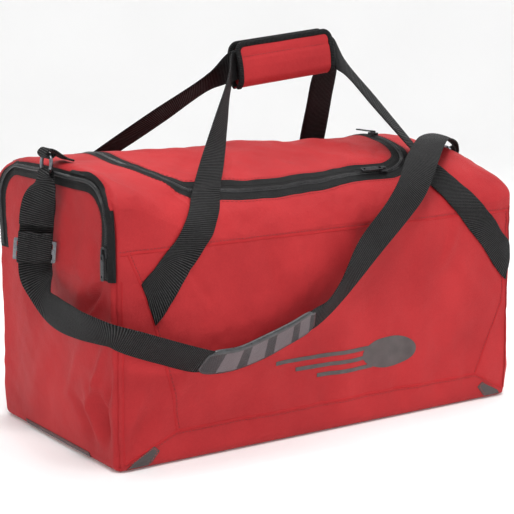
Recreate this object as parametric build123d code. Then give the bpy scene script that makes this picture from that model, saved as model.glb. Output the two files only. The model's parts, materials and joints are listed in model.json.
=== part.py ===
from build123d import *
import math
import os

os.makedirs("parts", exist_ok=True)

# ---------------------------------------------------------------- driving sizes (mm)
LENGTH = 600.0
DEPTH = 300.0
WALL = 3.0
EDGE_RADIUS = 10.0
SEAM_Z = 252.0
BAND_Z = 38.0
WEB_WIDTH = 40.0
WEB_T = 2.4
CLEAR = 0.35

ZIP_LEFT_X = -198.0
ZIP_RIGHT_X = 175.0
ZIP_FRONT_Y = -105.0
LID_HINGE_Y = 115.0
HINGE_GAP = 0.8
ZIP_CORNER_R = 55.0
TAPE_OUT = 11.0
TAPE_IN = 5.8
LID_TAPE_IN = 14.0
COIL_HALF = 2.0
COIL_H = 1.8

POCKET_HALF_Y = 135.0
POCKET_TOP_Z = 329.0
POCKET_BOTTOM_Z = 221.0
POCKET_CORNER_R = 44.0
POCKET_DEPTH = 58.0

# x station, height of the straight side, crown height, fullness of the rounding
STATIONS = [
    (-LENGTH / 2, 290.0, 341.0, 2.8),
    (-245.0, 279.0, 343.0, 2.5),
    (-180.0, 256.0, 345.0, 1.9),
    (-60.0, 252.0, 346.0, 1.7),
    (90.0, 252.0, 346.0, 1.7),
    (205.0, 254.0, 342.0, 1.8),
    (258.0, 259.0, 332.0, 1.95),
    (LENGTH / 2, 266.0, 314.0, 2.1),
]
ARC_STEPS = 16


# ---------------------------------------------------------------- helpers
def save(shape, name):
    if isinstance(shape, (ShapeList, list)):
        shape = Compound(list(shape)) if len(shape) > 1 else shape[0]
    solids = shape.solids()
    if len(solids) == 1:
        shape = solids[0]
    shape.label = name
    export_step(shape, "parts/" + name + ".step")


def vec(p):
    return Vector(*p)


def section(x, side_z, crown_z, power, inset):
    """Closed cross-section of the bag at one station, drawn in from the outer skin."""
    half = DEPTH / 2 - inset + 0.8
    rise = crown_z - side_z - inset * 0.7
    foot = side_z - inset * 0.3
    points = []
    for i in range(ARC_STEPS + 1):
        angle = math.pi * (1 - i / ARC_STEPS)
        c = math.cos(angle)
        s = math.sin(angle)
        y = half * math.copysign(abs(c) ** (2 / power), c)
        z = foot + rise * abs(s) ** (2 / power)
        points.append(Vector(x, y, z))
    top = Edge.make_spline(points)
    a = Vector(x, -half, inset)
    d = Vector(x, half, inset)
    front = Edge.make_line(a, points[0])
    back = Edge.make_line(points[-1], d)
    return Wire([front, top, back, Edge.make_line(d, a)])


def skin_volume(inset):
    """Solid inside the surface that lies `inset` below the outer skin."""
    wires = []
    for x, side_z, crown_z, power in STATIONS:
        wires.append(section(x, side_z, crown_z, power, inset))
    body = Solid.make_loft(wires, False)
    radius = max(EDGE_RADIUS - inset, 2.0)
    plan = RectangleRounded(LENGTH - 2 * inset, DEPTH - 2 * inset, radius)
    return body & extrude(plan, 400)


def prism_xz(points, y0=-200.0, y1=200.0):
    face = Face(Wire.make_polygon([Vector(x, y0, z) for x, z in points], close=True))
    return Solid.extrude(face, Vector(0, y1 - y0, 0))


def block(x0, x1, y0, y1, z0, z1):
    return Pos((x0 + x1) / 2, (y0 + y1) / 2, (z0 + z1) / 2) * Box(x1 - x0, y1 - y0, z1 - z0)


def u_plan(offset):
    """Plan area inside the zip's line moved outward by `offset`, open at the back."""
    x0 = ZIP_LEFT_X - offset
    x1 = ZIP_RIGHT_X + offset
    y0 = ZIP_FRONT_Y - offset
    y1 = LID_HINGE_Y
    radius = ZIP_CORNER_R + offset
    shape = Pos((x0 + x1) / 2, (y0 + y1 + 200) / 2, 200) * extrude(
        RectangleRounded(x1 - x0, y1 + 200 - y0, radius), 250)
    return shape & block(-400, 400, -400, y1, 200, 450)


def arch(offset, bottom):
    """End-pocket area on the left end inside the arched zip moved outward by `offset`."""
    half = POCKET_HALF_Y + offset
    top = POCKET_TOP_Z + offset
    radius = POCKET_CORNER_R + offset
    height = 400.0
    sketch = Plane.YZ * Pos(0, top - height / 2) * RectangleRounded(2 * half, height, radius)
    solid = Pos(-320, 0, 0) * extrude(sketch, 40)
    return solid & block(-400, 0, -200, 200, bottom, 400)


def ribbon(frames, thickness=WEB_T):
    """Flat band through frames of (centre, width direction, width) and, if fixed, a normal."""
    centres = [vec(f[0]) for f in frames]
    wires = []
    for i, frame in enumerate(frames):
        across = frame[1]
        width = frame[2]
        ahead = centres[min(i + 1, len(centres) - 1)]
        behind = centres[max(i - 1, 0)]
        travel = (ahead - behind).normalized()
        w = vec(across).normalized()
        n = travel.cross(w).normalized()
        if len(frame) == 4:
            n = vec(frame[3])
        c = centres[i]
        hw = w * (width / 2)
        hn = n * (thickness / 2)
        corners = [c - hw - hn, c + hw - hn, c + hw + hn, c - hw + hn]
        wires.append(Wire.make_polygon(corners, close=True))
    return Solid.make_loft(wires, True)


# ---------------------------------------------------------------- body shell and its panels
outer = skin_volume(0.0)
inner = skin_volume(WALL)
shell = outer - inner


def skin_z(x, y):
    """Height of the outer skin above one point of the plan."""
    needle = Pos(x, y, 300) * Box(0.4, 0.4, 300)
    return (needle & outer).bounding_box().max.Z


def skin_out(x, angle, lift):
    """Point `lift` above the skin, seen from the bag's long axis at the given angle."""
    rad = math.radians(angle)
    ray = Vector(0, math.cos(rad), math.sin(rad))
    needle = Plane(origin=(x, 0, 200), z_dir=ray) * Pos(0, 0, 110) * Box(0.3, 0.3, 220)
    far = 0.0
    for v in (needle & outer).vertices():
        reach = (Vector(v.X, v.Y, v.Z) - Vector(x, 0, 200)).dot(ray)
        far = max(far, reach)
    return Vector(x, 0, 200) + ray * (far + lift)


BAND_EDGE = [(-310, -5), (-310, 12), (-286, 12), (-250, 25), (-219, BAND_Z),
             (239, BAND_Z), (272, 20), (290, 11), (310, 11), (310, -5)]
FRONT_EDGE = [(-281, 260), (-265, 216), (-248, 167), (-235, 113), (-219, BAND_Z), (-219, 0),
              (239, 0), (239, BAND_Z), (283, 132), (286.5, 175), (286.5, 260)]
bottom_zone = prism_xz(BAND_EDGE)
above_band = block(-310, 310, -160, 160, -5, 400) - bottom_zone
seam_slab = block(-310, 310, -160, 160, -5, SEAM_Z)
left_zone = block(-310, -LENGTH / 2 + EDGE_RADIUS, -160, 160, -5, 400)
right_zone = block(LENGTH / 2 - EDGE_RADIUS, 310, -160, 160, -5, 400)
middle_zone = block(-LENGTH / 2 + EDGE_RADIUS, LENGTH / 2 - EDGE_RADIUS, -160, 160, -5, 400)
front_zone = block(-310, 310, -160, 0, -5, 400)
back_zone = block(-310, 310, 0, 160, -5, 400)
trapezoid = prism_xz(FRONT_EDGE)

bottom_panel = shell & bottom_zone
walls = shell & above_band
low = walls & seam_slab & middle_zone
high = (walls - seam_slab) & middle_zone

front_low = low & front_zone
back_low = low & back_zone
front_panel = front_low & trapezoid
front_corners = front_low - trapezoid
back_panel = back_low & trapezoid
back_corners = back_low - trapezoid

left_end = walls & left_zone
right_end = walls & right_zone

pocket_gap = arch(-TAPE_IN, POCKET_BOTTOM_Z)
pocket_tape_area = arch(7.0, POCKET_BOTTOM_Z)
pocket_tape = (left_end & pocket_tape_area) - pocket_gap
flap_area = arch(-TAPE_IN - CLEAR - 0.1, POCKET_BOTTOM_Z + CLEAR)
flap_inner = arch(-TAPE_IN - 7.0, POCKET_BOTTOM_Z)
flap_full = left_end & flap_area
flap_panel = flap_full & flap_inner
flap_tape = flap_full - flap_inner
left_end_panel = left_end - pocket_tape_area

lid_side = block(-400, 400, -400, LID_HINGE_Y - HINGE_GAP, 200, 450)
lid_area = u_plan(-LID_TAPE_IN) & lid_side
lid_edge_area = u_plan(-TAPE_IN - 0.5) & lid_side
root_tape_area = u_plan(TAPE_OUT) - u_plan(-TAPE_IN)
lid_panel = high & lid_area
lid_tape = (high & lid_edge_area) - lid_area
zip_tape = high & root_tape_area
frame_top = high - u_plan(TAPE_OUT)

bridge_left = frame_top & block(-310, ZIP_LEFT_X - TAPE_OUT, -160, 160, 0, 400)
bridge_right = frame_top & block(ZIP_RIGHT_X + TAPE_OUT, 310, -160, 160, 0, 400)
yoke_zone = block(ZIP_LEFT_X - TAPE_OUT, ZIP_RIGHT_X + TAPE_OUT, -160, 160, 0, 400)
front_yoke = frame_top & yoke_zone & front_zone
back_yoke = frame_top & yoke_zone & back_zone

save(bottom_panel, "bottom_panel")
save(front_panel, "front_panel")
save(front_corners & block(-310, 0, -160, 160, 0, 400), "front_corner_left")
save(front_corners & block(0, 310, -160, 160, 0, 400), "front_corner_right")
save(back_panel, "back_panel")
save(back_corners & block(-310, 0, -160, 160, 0, 400), "back_corner_left")
save(back_corners & block(0, 310, -160, 160, 0, 400), "back_corner_right")
save(left_end_panel, "left_end_panel")
save(right_end, "right_end_panel")
save(bridge_left, "top_bridge_left")
save(bridge_right, "top_bridge_right")
save(front_yoke, "front_yoke")
save(back_yoke, "back_yoke")
save(lid_panel, "lid_panel")
save(lid_tape, "lid_zip_tape")
save(zip_tape, "main_zip_tape")
save(flap_panel, "pocket_flap")
save(flap_tape, "pocket_flap_tape")
save(pocket_tape, "pocket_zip_tape")

# ---------------------------------------------------------------- zip teeth
main_coil = (Pos(0, 0, COIL_H) * outer - outer) & (u_plan(COIL_HALF) - u_plan(-COIL_HALF))
main_coil = main_coil & block(-400, 400, -400, LID_HINGE_Y - 3, 200, 450)
save(main_coil, "main_zip_teeth")
pocket_coil = arch(COIL_HALF, POCKET_BOTTOM_Z + 3) - arch(-COIL_HALF, POCKET_BOTTOM_Z)
pocket_coil = pocket_coil & (Pos(-COIL_H, 0, 0) * outer - outer)
pocket_coil = pocket_coil & block(-400, -LENGTH / 2, -200, 200, 0, 400)
save(pocket_coil, "pocket_zip_teeth")

# ---------------------------------------------------------------- inside parts
board = block(-288, 288, -138, 138, WALL, WALL + 3.0)
save(board, "base_board")
divider_x = -LENGTH / 2 + WALL + POCKET_DEPTH
divider = inner & block(divider_x, divider_x + 1.6, -160, 160, WALL + 3.0, 400)
save(divider, "pocket_divider")


# ---------------------------------------------------------------- zip sliders and pulls
def slider(x, y, z, along, up):
    """Slider body over the teeth: a shell with a tunnel, plus a bridge for the pull."""
    frame = Plane(origin=(x, y, z), x_dir=along, z_dir=up)
    body = Pos(0, 0, 2.9) * Box(13, 10.4, 3.8)
    body = fillet(body.edges().filter_by(Axis.Z), 3.0)
    tunnel = Pos(0, 0, 1.4) * Box(20, 2 * COIL_HALF + 4.4, 2 * COIL_H + 1.3)
    bridge = Pos(0, 0, 5.9) * Box(8.0, 2.2, 3.0)
    eye = Pos(2.6, 0, 6.2) * Rot(90, 0, 0) * Cylinder(0.95, 4)
    shape = body - tunnel + bridge - eye
    return frame * shape


def pull(x, y, z, along, up, length=27.0):
    """Flat pull hanging from the slider's bridge by a small pin through the eye."""
    frame = Plane(origin=(x, y, z), x_dir=along, z_dir=up)
    pin = Pos(2.6, 0, 6.2) * Rot(90, 0, 0) * Cylinder(0.9, 5.2)
    arm_a = Pos(2.6 + 2.6, 2.1, 6.2) * Box(7.0, 1.2, 1.6)
    arm_b = Pos(2.6 + 2.6, -2.1, 6.2) * Box(7.0, 1.2, 1.6)
    plate = Pos(2.6 + 5.2 + length / 2, 0, 6.2) * Box(length, 6.4, 1.6)
    plate = fillet(plate.edges().filter_by(Axis.Z), 2.2)
    hole = Pos(2.6 + 5.2 + length - 5.0, 0, 6.2) * Cylinder(1.6, 4)
    return frame * (pin + arm_a + arm_b + plate - hole)


front_slider_x = 112.0
front_z = skin_z(front_slider_x, ZIP_FRONT_Y)
front_slope = skin_z(front_slider_x, ZIP_FRONT_Y + 4) - skin_z(front_slider_x, ZIP_FRONT_Y - 4)
front_up = Vector(0, -front_slope, 8.0).normalized()
save(slider(front_slider_x, ZIP_FRONT_Y, front_z, (-1, 0, 0), front_up), "main_slider_front")
save(pull(front_slider_x, ZIP_FRONT_Y, front_z, (-1, 0, 0), front_up), "main_pull_front")

side_slider_y = -8.0
side_z = skin_z(ZIP_RIGHT_X, side_slider_y)
side_slope = skin_z(ZIP_RIGHT_X + 4, side_slider_y) - skin_z(ZIP_RIGHT_X - 4, side_slider_y)
side_up = Vector(-side_slope, 0, 8.0).normalized()
save(slider(ZIP_RIGHT_X, side_slider_y, side_z, (0, 1, 0), side_up), "main_slider_side")
save(pull(ZIP_RIGHT_X, side_slider_y, side_z, (0, 1, 0), side_up), "main_pull_side")

pocket_slider_z = 254.0
save(slider(-LENGTH / 2, -POCKET_HALF_Y, pocket_slider_z, (0, 0, -1), (-1, 0, 0)), "pocket_slider")
save(pull(-LENGTH / 2, -POCKET_HALF_Y, pocket_slider_z, (0, 0, -1), (-1, 0, 0), 24.0), "pocket_pull")

# ---------------------------------------------------------------- carry handles
GRIP_X0 = -45.0
GRIP_X1 = 105.0
GRIP_Y = -2.0
GRIP_MID_Z = 456.0
FOLD_LENGTH = 48.0
LEG_OFFSET = 2.6

# middle of each sewn end on the upper seam, and the slanted lower end below it
FRONT_LEFT_PATCH = [(-227.0, 254.0), (-178.0, 254.0), (-248.0, 167.0), (-265.0, 216.0)]
FRONT_RIGHT_PATCH = [(203.0, 254.0), (252.0, 254.0), (294.0, 204.0), (287.0, 160.0)]
BACK_LEFT_PATCH = [(-244.0, 254.0), (-196.0, 254.0), (-262.0, 167.0), (-279.0, 216.0)]
BACK_RIGHT_PATCH = [(162.0, 254.0), (211.0, 254.0), (262.0, 204.0), (255.0, 160.0)]
FRONT_FOLD_LEFT_ANGLE = 136.0
BACK_FOLD_ANGLE = 44.0
FRONT_FOLD_LEFT_X = -168.0
FRONT_FOLD_RIGHT = Vector(181.5, -93.5, 329.6)
BACK_FOLD_LEFT_X = -190.0
BACK_FOLD_RIGHT_X = 160.0


def surface_frame(x, angle, lift):
    """Centre and width direction of webbing lying on the rounded top."""
    centre = skin_out(x, angle, lift)
    left = skin_out(x - 20, angle, lift)
    right = skin_out(x + 20, angle, lift)
    middle = (left + right) * 0.5
    if middle.Z > centre.Z:
        centre = middle
    return tuple(centre), tuple(right - left)


def anchor(patch, fold_centre, fold_across, y_skin, outward, angles):
    """Sewn end: a flat patch on the panel, then webbing laid over the top to the fold."""
    top_left, top_right, low_right, low_left = patch
    y_mid = y_skin + outward * WEB_T / 2
    frames = []
    for left, right in ((low_left, low_right), (top_left, top_right)):
        centre = ((left[0] + right[0]) / 2, y_mid, (left[1] + right[1]) / 2)
        across = (right[0] - left[0], 0, right[1] - left[1])
        frames.append((centre, across, math.hypot(across[0], across[2]), (0, 1, 0)))
    kink_x = frames[1][0][0]
    for k, angle in enumerate(angles):
        t = (k + 1) / (len(angles) + 1)
        x = kink_x + (fold_centre.X - kink_x) * t
        centre, across = surface_frame(x, angle, LEG_OFFSET)
        frames.append((centre, across, FOLD_LENGTH))
    last = vec(frames[-1][0])
    toward = (fold_centre - last).normalized()
    stop = fold_centre - toward * (WEB_T / 2 + CLEAR)
    frames.append((tuple(stop), tuple(fold_across), FOLD_LENGTH - 4))
    return ribbon(frames) - outer


def handle(name, patches, folds, right_across, y_skin, outward, angle_sets):
    """Free webbing from one fold through the grip to the other, and its two sewn ends."""
    axis = (folds[1] - folds[0]).normalized()
    right_across = vec(right_across).normalized()
    grip_y = GRIP_Y + outward * 1.75
    end_left = Vector(GRIP_X0, grip_y, GRIP_MID_Z)
    end_right = Vector(GRIP_X1, grip_y, GRIP_MID_Z)
    down = Vector(0, 0, -1)
    up_left = end_left - folds[0]
    up_right = end_right - folds[1]
    frames = [(tuple(folds[0]), tuple(axis), FOLD_LENGTH),
              (tuple(folds[0] + up_left * 0.08), tuple(axis), FOLD_LENGTH),
              (tuple(folds[0] + up_left * 0.5), tuple(axis * 0.8 + down * 0.35), 42.0),
              (tuple(folds[0] + up_left * 0.88), tuple(axis * 0.3 + down * 0.9), 40.0),
              ((GRIP_X0 - 1, grip_y, GRIP_MID_Z - 1.0), tuple(down), 38.0),
              ((GRIP_X1 + 1, grip_y, GRIP_MID_Z - 1.0), tuple(down), 38.0),
              (tuple(folds[1] + up_right * 0.88), tuple(right_across * -0.3 + down * 0.9), 40.0),
              (tuple(folds[1] + up_right * 0.5), tuple(right_across * -0.8 + down * 0.35), 42.0),
              (tuple(folds[1] + up_right * 0.1), tuple(right_across * -1), FOLD_LENGTH - 4),
              (tuple(folds[1]), tuple(right_across * -1), FOLD_LENGTH - 4)]
    save(ribbon(frames), name + "_webbing")
    save(anchor(patches[0], folds[0], axis, y_skin, outward, angle_sets[0]), name + "_anchor_left")
    save(anchor(patches[1], folds[1], right_across, y_skin, outward, angle_sets[1]), name + "_anchor_right")


front_fold_left = skin_out(FRONT_FOLD_LEFT_X, FRONT_FOLD_LEFT_ANGLE, LEG_OFFSET + 2.4)
back_fold_left = skin_out(BACK_FOLD_LEFT_X, BACK_FOLD_ANGLE, LEG_OFFSET + 3.2)
back_fold_right = skin_out(BACK_FOLD_RIGHT_X, BACK_FOLD_ANGLE, LEG_OFFSET + 2.6)
FRONT_PATCHES = (FRONT_LEFT_PATCH, FRONT_RIGHT_PATCH)
BACK_PATCHES = (BACK_LEFT_PATCH, BACK_RIGHT_PATCH)
FRONT_ANGLES = ((157.0, 152.0, 147.0, 141.5), (157.0, 152.0, 147.0, 141.0))
BACK_ANGLES = ((23.0, 28.0, 33.0, 38.5), (23.0, 28.0, 33.0, 38.5))
handle("front_handle", FRONT_PATCHES, (front_fold_left, FRONT_FOLD_RIGHT), (0.73, 0.68, 0),
       -DEPTH / 2, -1, FRONT_ANGLES)
handle("back_handle", BACK_PATCHES, (back_fold_left, back_fold_right), (1, 0, 0),
       DEPTH / 2, 1, BACK_ANGLES)

# grip: folded pad round both handles, open along the top, front leaf sewn to the front webbing
GRIP_Z0 = 427.0
GRIP_Z1 = 484.0
LEAF_T = 3.6
LEAF_BULGE = 9.0
LEAF_TOP = 4.8


def leaf_profile(side, t0, t1):
    """Cross-section of one leaf between two distances from the middle plane."""
    pts = []
    for z, out in [(GRIP_Z0, 1.0), (436.0, LEAF_BULGE), (452.0, LEAF_BULGE + 1.0),
                   (474.0, 6.0), (GRIP_Z1, LEAF_TOP)]:
        pts.append((z, out))
    outer_pts = [(GRIP_Y + side * (o + t1), z) for z, o in pts]
    inner_pts = [(GRIP_Y + side * (o + t0), z) for z, o in pts]
    return outer_pts, inner_pts


def grip_leaf(side, x0, x1):
    out_pts, in_pts = leaf_profile(side, 0.0, LEAF_T)
    poly = out_pts + in_pts[::-1]
    wire = Wire.make_polygon([Vector(x0, y, z) for y, z in poly], close=True)
    return Solid.extrude(Face(wire), Vector(x1 - x0, 0, 0))


def grip_binding(side):
    """Bound edge along the two ends and the top of one leaf."""
    end_a = grip_leaf(side, GRIP_X0, GRIP_X0 + 8.0)
    end_b = grip_leaf(side, GRIP_X1 - 8.0, GRIP_X1)
    top = grip_leaf(side, GRIP_X0, GRIP_X1) & block(-100, 200, -50, 50, GRIP_Z1 - 8.0, GRIP_Z1 + 1)
    return end_a + end_b + top


for side, tag in ((-1, "front"), (1, "back")):
    bind = grip_binding(side)
    save(grip_leaf(side, GRIP_X0, GRIP_X1) - bind, "grip_leaf_" + tag)
    save(bind, "grip_binding_" + tag)

# ---------------------------------------------------------------- shoulder strap
RING_WIRE = 2.2
LEFT_RING = Vector(-311.5, -14.0, 342.0)
LEFT_RING_R = 12.0
RIGHT_RING = Vector(306.0, -4.0, 304.0)
RIGHT_RING_R = 17.0
SWING_AXIS = (RIGHT_RING - LEFT_RING).normalized()
LOOP_W = 24.0
LEFT_LOOP_W = 14.0


def ring(centre, radius):
    return Plane(origin=centre, z_dir=SWING_AXIS) * Torus(radius, RING_WIRE)


def ring_plane(centre, angle):
    """Frame on the ring at one angle: local Y runs outward from the ring's centre."""
    rad = math.radians(angle)
    out = Vector(0, math.cos(rad), math.sin(rad))
    out = (out - SWING_AXIS * out.dot(SWING_AXIS)).normalized()
    return Plane(origin=centre, x_dir=SWING_AXIS, z_dir=SWING_AXIS.cross(out))


def ring_loop(centre, radius, angle, width, tail):
    """Webbing loop round the ring's wire, with both plies running `tail` outward."""
    gap = RING_WIRE + CLEAR
    half = gap + WEB_T
    top = math.sqrt((radius - RING_WIRE) ** 2 - (width / 2) ** 2) - CLEAR
    bottom = radius + RING_WIRE + tail
    outside = Pos(0, (top - WEB_T + bottom) / 2, 0) * Box(2 * half, bottom - top + WEB_T, width)
    hole = Pos(0, (top + bottom - 2.6) / 2, 0) * Box(2 * gap, bottom - 2.6 - top, width + 2)
    return ring_plane(centre, angle) * (outside - hole)


save(ring(LEFT_RING, LEFT_RING_R), "ring_left")
save(ring(RIGHT_RING, RIGHT_RING_R), "ring_right")

left_tab = ring_loop(LEFT_RING, LEFT_RING_R, 90.0, LEFT_LOOP_W, 3.0)
left_cap = ribbon([((-281.0, -14, 343.4), (0, 1, 0), 26.0),
                   ((-292.0, -14, 348.0), (0, 1, 0), 22.0),
                   ((-304.0, -14, 357.0), (0, 1, 0), LEFT_LOOP_W),
                   ((-316.5, -14, 357.9), (0, 1, 0), LEFT_LOOP_W)])
save(left_tab + left_cap - outer, "strap_tab_left")

right_tab = ring_loop(RIGHT_RING, RIGHT_RING_R, -90.0, 18.0, 5.0)
right_tab = right_tab + block(LENGTH / 2 + 0.1, 310.6, -13.0, 5.0, 272.0, 281.0)
right_tab = right_tab + block(LENGTH / 2 + 0.1, LENGTH / 2 + 0.1 + WEB_T, -24.0, 16.0, 236.0, 276.0)
save(right_tab - outer, "strap_tab_right")

# left hanging run turns to face outward and forward; the outer ply comes back down to the adjuster
loop_left = ring_loop(LEFT_RING, LEFT_RING_R, -90.0, LEFT_LOOP_W, 4.0)


def turned(degrees):
    """Width direction of the hanging strap, and the way it faces, at one turn about the vertical."""
    rad = math.radians(degrees)
    return Vector(math.sin(rad), -math.cos(rad), 0), Vector(-math.cos(rad), -math.sin(rad), 0)


# height, middle of the inner ply, turn in degrees, width, gap between the plies' middles
HANGING = [(325.5, -307.75, -14.0, 0.0, LEFT_LOOP_W, 7.5),
           (316.0, -310.4, -13.5, 18.0, 26.0, 7.2),
           (305.0, -316.0, -12.5, 36.0, 38.0, 6.8),
           (294.0, -320.2, -11.0, 48.0, WEB_WIDTH, 6.2),
           (282.0, -322.6, -9.5, 55.0, WEB_WIDTH, 5.4),
           (270.0, -322.8, -7.4, 55.0, WEB_WIDTH, 5.0)]
inner_frames = []
outer_frames = []
for z, x, y, turn, width, gap in HANGING:
    across, face = turned(turn)
    inner_frames.append(((x, y, z), tuple(across), width))
    outer_frames.append(((x + face.X * gap, y + face.Y * gap, z), tuple(across), width))
hang_across, hang_face = turned(55.0)
LEFT_RUN = [((-323.0, -2.5, 240.0), tuple(hang_across), WEB_WIDTH),
            ((-323.0, -2.0, 212.0), tuple(hang_across), WEB_WIDTH),
            ((-322.0, -11, 193.0), (0.35, -0.80, 0.48), WEB_WIDTH),
            ((-322.5, -29, 178.0), (0, -0.5, 0.85), WEB_WIDTH),
            ((-324.0, -62, 171.0), (0, -0.1, 1), WEB_WIDTH),
            ((-327.5, -105, 169.0), (-0.15, 0, 1), WEB_WIDTH),
            ((-326.0, -140, 167.0), (-0.35, -0.2, 1), WEB_WIDTH),
            ((-311.0, -165, 161.0), (-0.3, -0.6, 0.9), WEB_WIDTH),
            ((-280.0, -172, 149.0), (0.1, -0.65, 0.8), WEB_WIDTH),
            ((-244.0, -172, 137.0), (0.1, -0.65, 0.8), WEB_WIDTH),
            ((-193.0, -171, 121.0), (0.05, -0.65, 0.8), WEB_WIDTH)]
inner_ply = ribbon(inner_frames + LEFT_RUN)
outer_ply = ribbon(outer_frames)

ADJ_CENTRE = Vector(-326.3, -7.25, 240.0)
ADJ_UP = Vector(0.022, -0.157, 0.987).normalized()
adj_across = (hang_across - ADJ_UP * hang_across.dot(ADJ_UP)).normalized()
adj_plane = Plane(origin=ADJ_CENTRE, x_dir=adj_across, z_dir=adj_across.cross(ADJ_UP))
slot_cut = Box(42.5, 7.6, 6)
frame_ring = Box(50.0, 26.0, 2.6) - Pos(0, 6.3, 0) * slot_cut - Pos(0, -6.3, 0) * slot_cut
frame_ring = fillet(frame_ring.edges().filter_by(Axis.Z), 1.6)
save(adj_plane * frame_ring, "strap_adjuster")
stub_start = ADJ_CENTRE + hang_face * 3.0
stub = ribbon([(tuple(stub_start - ADJ_UP * 3.5), tuple(adj_across), WEB_WIDTH),
               (tuple(stub_start + ADJ_UP * 22.0), tuple(adj_across), WEB_WIDTH)])
save(stub, "strap_stub")

# pad and the run up to the right ring
PAD_T = 7.0
pad = ribbon([((-197.0, -171, 121.5), (-0.05, 0.65, -0.8), 30.0),
              ((-188.0, -171, 120.0), (0, 0.65, -0.8), 44.0),
              ((-155.0, -171, 119.0), (0.1, 0.65, -0.8), 46.0),
              ((-115.0, -171, 127.0), (0.25, 0.6, -0.8), 46.0),
              ((-77.0, -172, 139.0), (0.3, 0.6, -0.75), 46.0),
              ((-48.0, -173, 150.0), (0.35, 0.55, -0.75), 42.0),
              ((-41.0, -173, 153.0), (0.35, 0.55, -0.75), 30.0)], PAD_T)
right_run = ribbon([((-45.0, -173, 151.5), (0.35, 0.55, -0.75), WEB_WIDTH),
                    ((-22.0, -174, 163.0), (0.45, 0.6, -0.6), WEB_WIDTH),
                    ((2.0, -173, 184.0), (0.55, 0.5, -0.6), WEB_WIDTH),
                    ((43.0, -168, 228.0), (0.72, 0.1, -0.66), WEB_WIDTH),
                    ((89.0, -166, 270.0), (0.74, -0.05, -0.64), WEB_WIDTH),
                    ((116.0, -161, 296.0), (0.74, -0.3, -0.5), WEB_WIDTH),
                    ((150.0, -139.5, 326.0), (0.72, -0.65, -0.2), WEB_WIDTH),
                    ((191.0, -106.5, 343.5), (0.7, -0.7, 0), WEB_WIDTH),
                    ((233.0, -70, 346.0), (0.7, -0.7, -0.05), WEB_WIDTH),
                    ((266.0, -50, 342.0), (0.55, -0.75, -0.3), 38.0),
                    ((288.5, -38, 334.0), (0.2, -0.75, -0.6), 32.0),
                    ((302.5, -30.0, 322.4), (0.0, -0.5, -0.87), LOOP_W),
                    ((306.5, -24.5, 317.0), (0.0, -0.5, -0.87), LOOP_W)])
loop_right = ring_loop(RIGHT_RING, RIGHT_RING_R, 150.0, LOOP_W, 5.0)
save(loop_left + inner_ply + outer_ply - pad, "shoulder_strap_left")
save(loop_right + (right_run - pad), "shoulder_strap_right")
save(pad, "shoulder_pad")

# ---------------------------------------------------------------- wear patches and front print
PATCH_T = 0.9


def wear_patch(points, y_skin, outward, name):
    y0, y1 = sorted((y_skin, y_skin + outward * PATCH_T))
    save(prism_xz(points, y0, y1), name)


LEFT_WEAR = [(-286.0, 2.0), (-281.0, 9.0), (-251.0, 25.0), (-244.0, 19.0), (-259.0, 2.0)]
RIGHT_WEAR = [(-x, z) for x, z in LEFT_WEAR]
wear_patch(LEFT_WEAR, -DEPTH / 2, -1, "wear_patch_front_left")
wear_patch(RIGHT_WEAR, -DEPTH / 2, -1, "wear_patch_front_right")
wear_patch(LEFT_WEAR, DEPTH / 2, 1, "wear_patch_back_left")
wear_patch(RIGHT_WEAR, DEPTH / 2, 1, "wear_patch_back_right")
save(block(-LENGTH / 2 - PATCH_T, -LENGTH / 2, -84.0, 84.0, 1.0, 9.0), "wear_strip_left")
save(block(LENGTH / 2, LENGTH / 2 + PATCH_T, -84.0, 84.0, 1.0, 9.0), "wear_strip_right")

PRINT_T = 0.5
puck = Plane.XZ * Pos(92, 89) * Ellipse(42, 20)
streaks = [(-83.0, 60.0, 96.0, 5.0), (-52.0, 62.0, 84.0, 5.0), (-20.0, 66.0, 72.0, 5.0)]
art = Pos(0, -DEPTH / 2, 0) * extrude(puck, PRINT_T)
arc_cut = Rot(90, 0, 0) * (Cylinder(60, 4) - Cylinder(57.5, 4))
art = art - Pos(92, -DEPTH / 2, 92) * arc_cut
for x0, x1, z, height in streaks:
    art = art + block(x0, x1, -DEPTH / 2 - PRINT_T, -DEPTH / 2, z, z + height)
save(art, "front_print")
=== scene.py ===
"""Red sports bag with carry handles and a shoulder strap: the looks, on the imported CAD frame."""
import json
import math

import bpy
import numpy as np
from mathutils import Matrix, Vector
from mathutils.bvhtree import BVHTree


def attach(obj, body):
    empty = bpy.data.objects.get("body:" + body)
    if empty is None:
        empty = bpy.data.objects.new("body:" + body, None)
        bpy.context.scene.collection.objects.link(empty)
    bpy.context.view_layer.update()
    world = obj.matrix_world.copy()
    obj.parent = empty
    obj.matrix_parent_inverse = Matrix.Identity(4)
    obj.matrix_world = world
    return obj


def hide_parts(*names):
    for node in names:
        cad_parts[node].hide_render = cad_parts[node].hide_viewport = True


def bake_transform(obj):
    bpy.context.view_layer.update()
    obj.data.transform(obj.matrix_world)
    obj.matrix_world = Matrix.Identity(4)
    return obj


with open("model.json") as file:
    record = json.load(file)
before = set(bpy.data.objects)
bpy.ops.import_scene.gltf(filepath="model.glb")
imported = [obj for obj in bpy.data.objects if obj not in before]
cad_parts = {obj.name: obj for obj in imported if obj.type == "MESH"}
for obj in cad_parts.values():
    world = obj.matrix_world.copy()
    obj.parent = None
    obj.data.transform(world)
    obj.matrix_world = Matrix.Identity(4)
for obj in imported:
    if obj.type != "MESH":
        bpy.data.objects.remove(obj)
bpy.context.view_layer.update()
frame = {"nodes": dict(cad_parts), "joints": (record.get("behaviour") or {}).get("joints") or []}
NODES = frame["nodes"]
JOINTS = {j["name"]: j for j in frame["joints"]}
MM = 0.001
STEP = 0.004

# ------------------------------------------------------------------ sizes shared with the CAD part
# half lengths of the body in metres; HALF_Y is the skin's own, a little outside the flat wall
HALF_X = 0.300
WALL_Y = 0.150
HALF_Y = 0.1508

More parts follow.
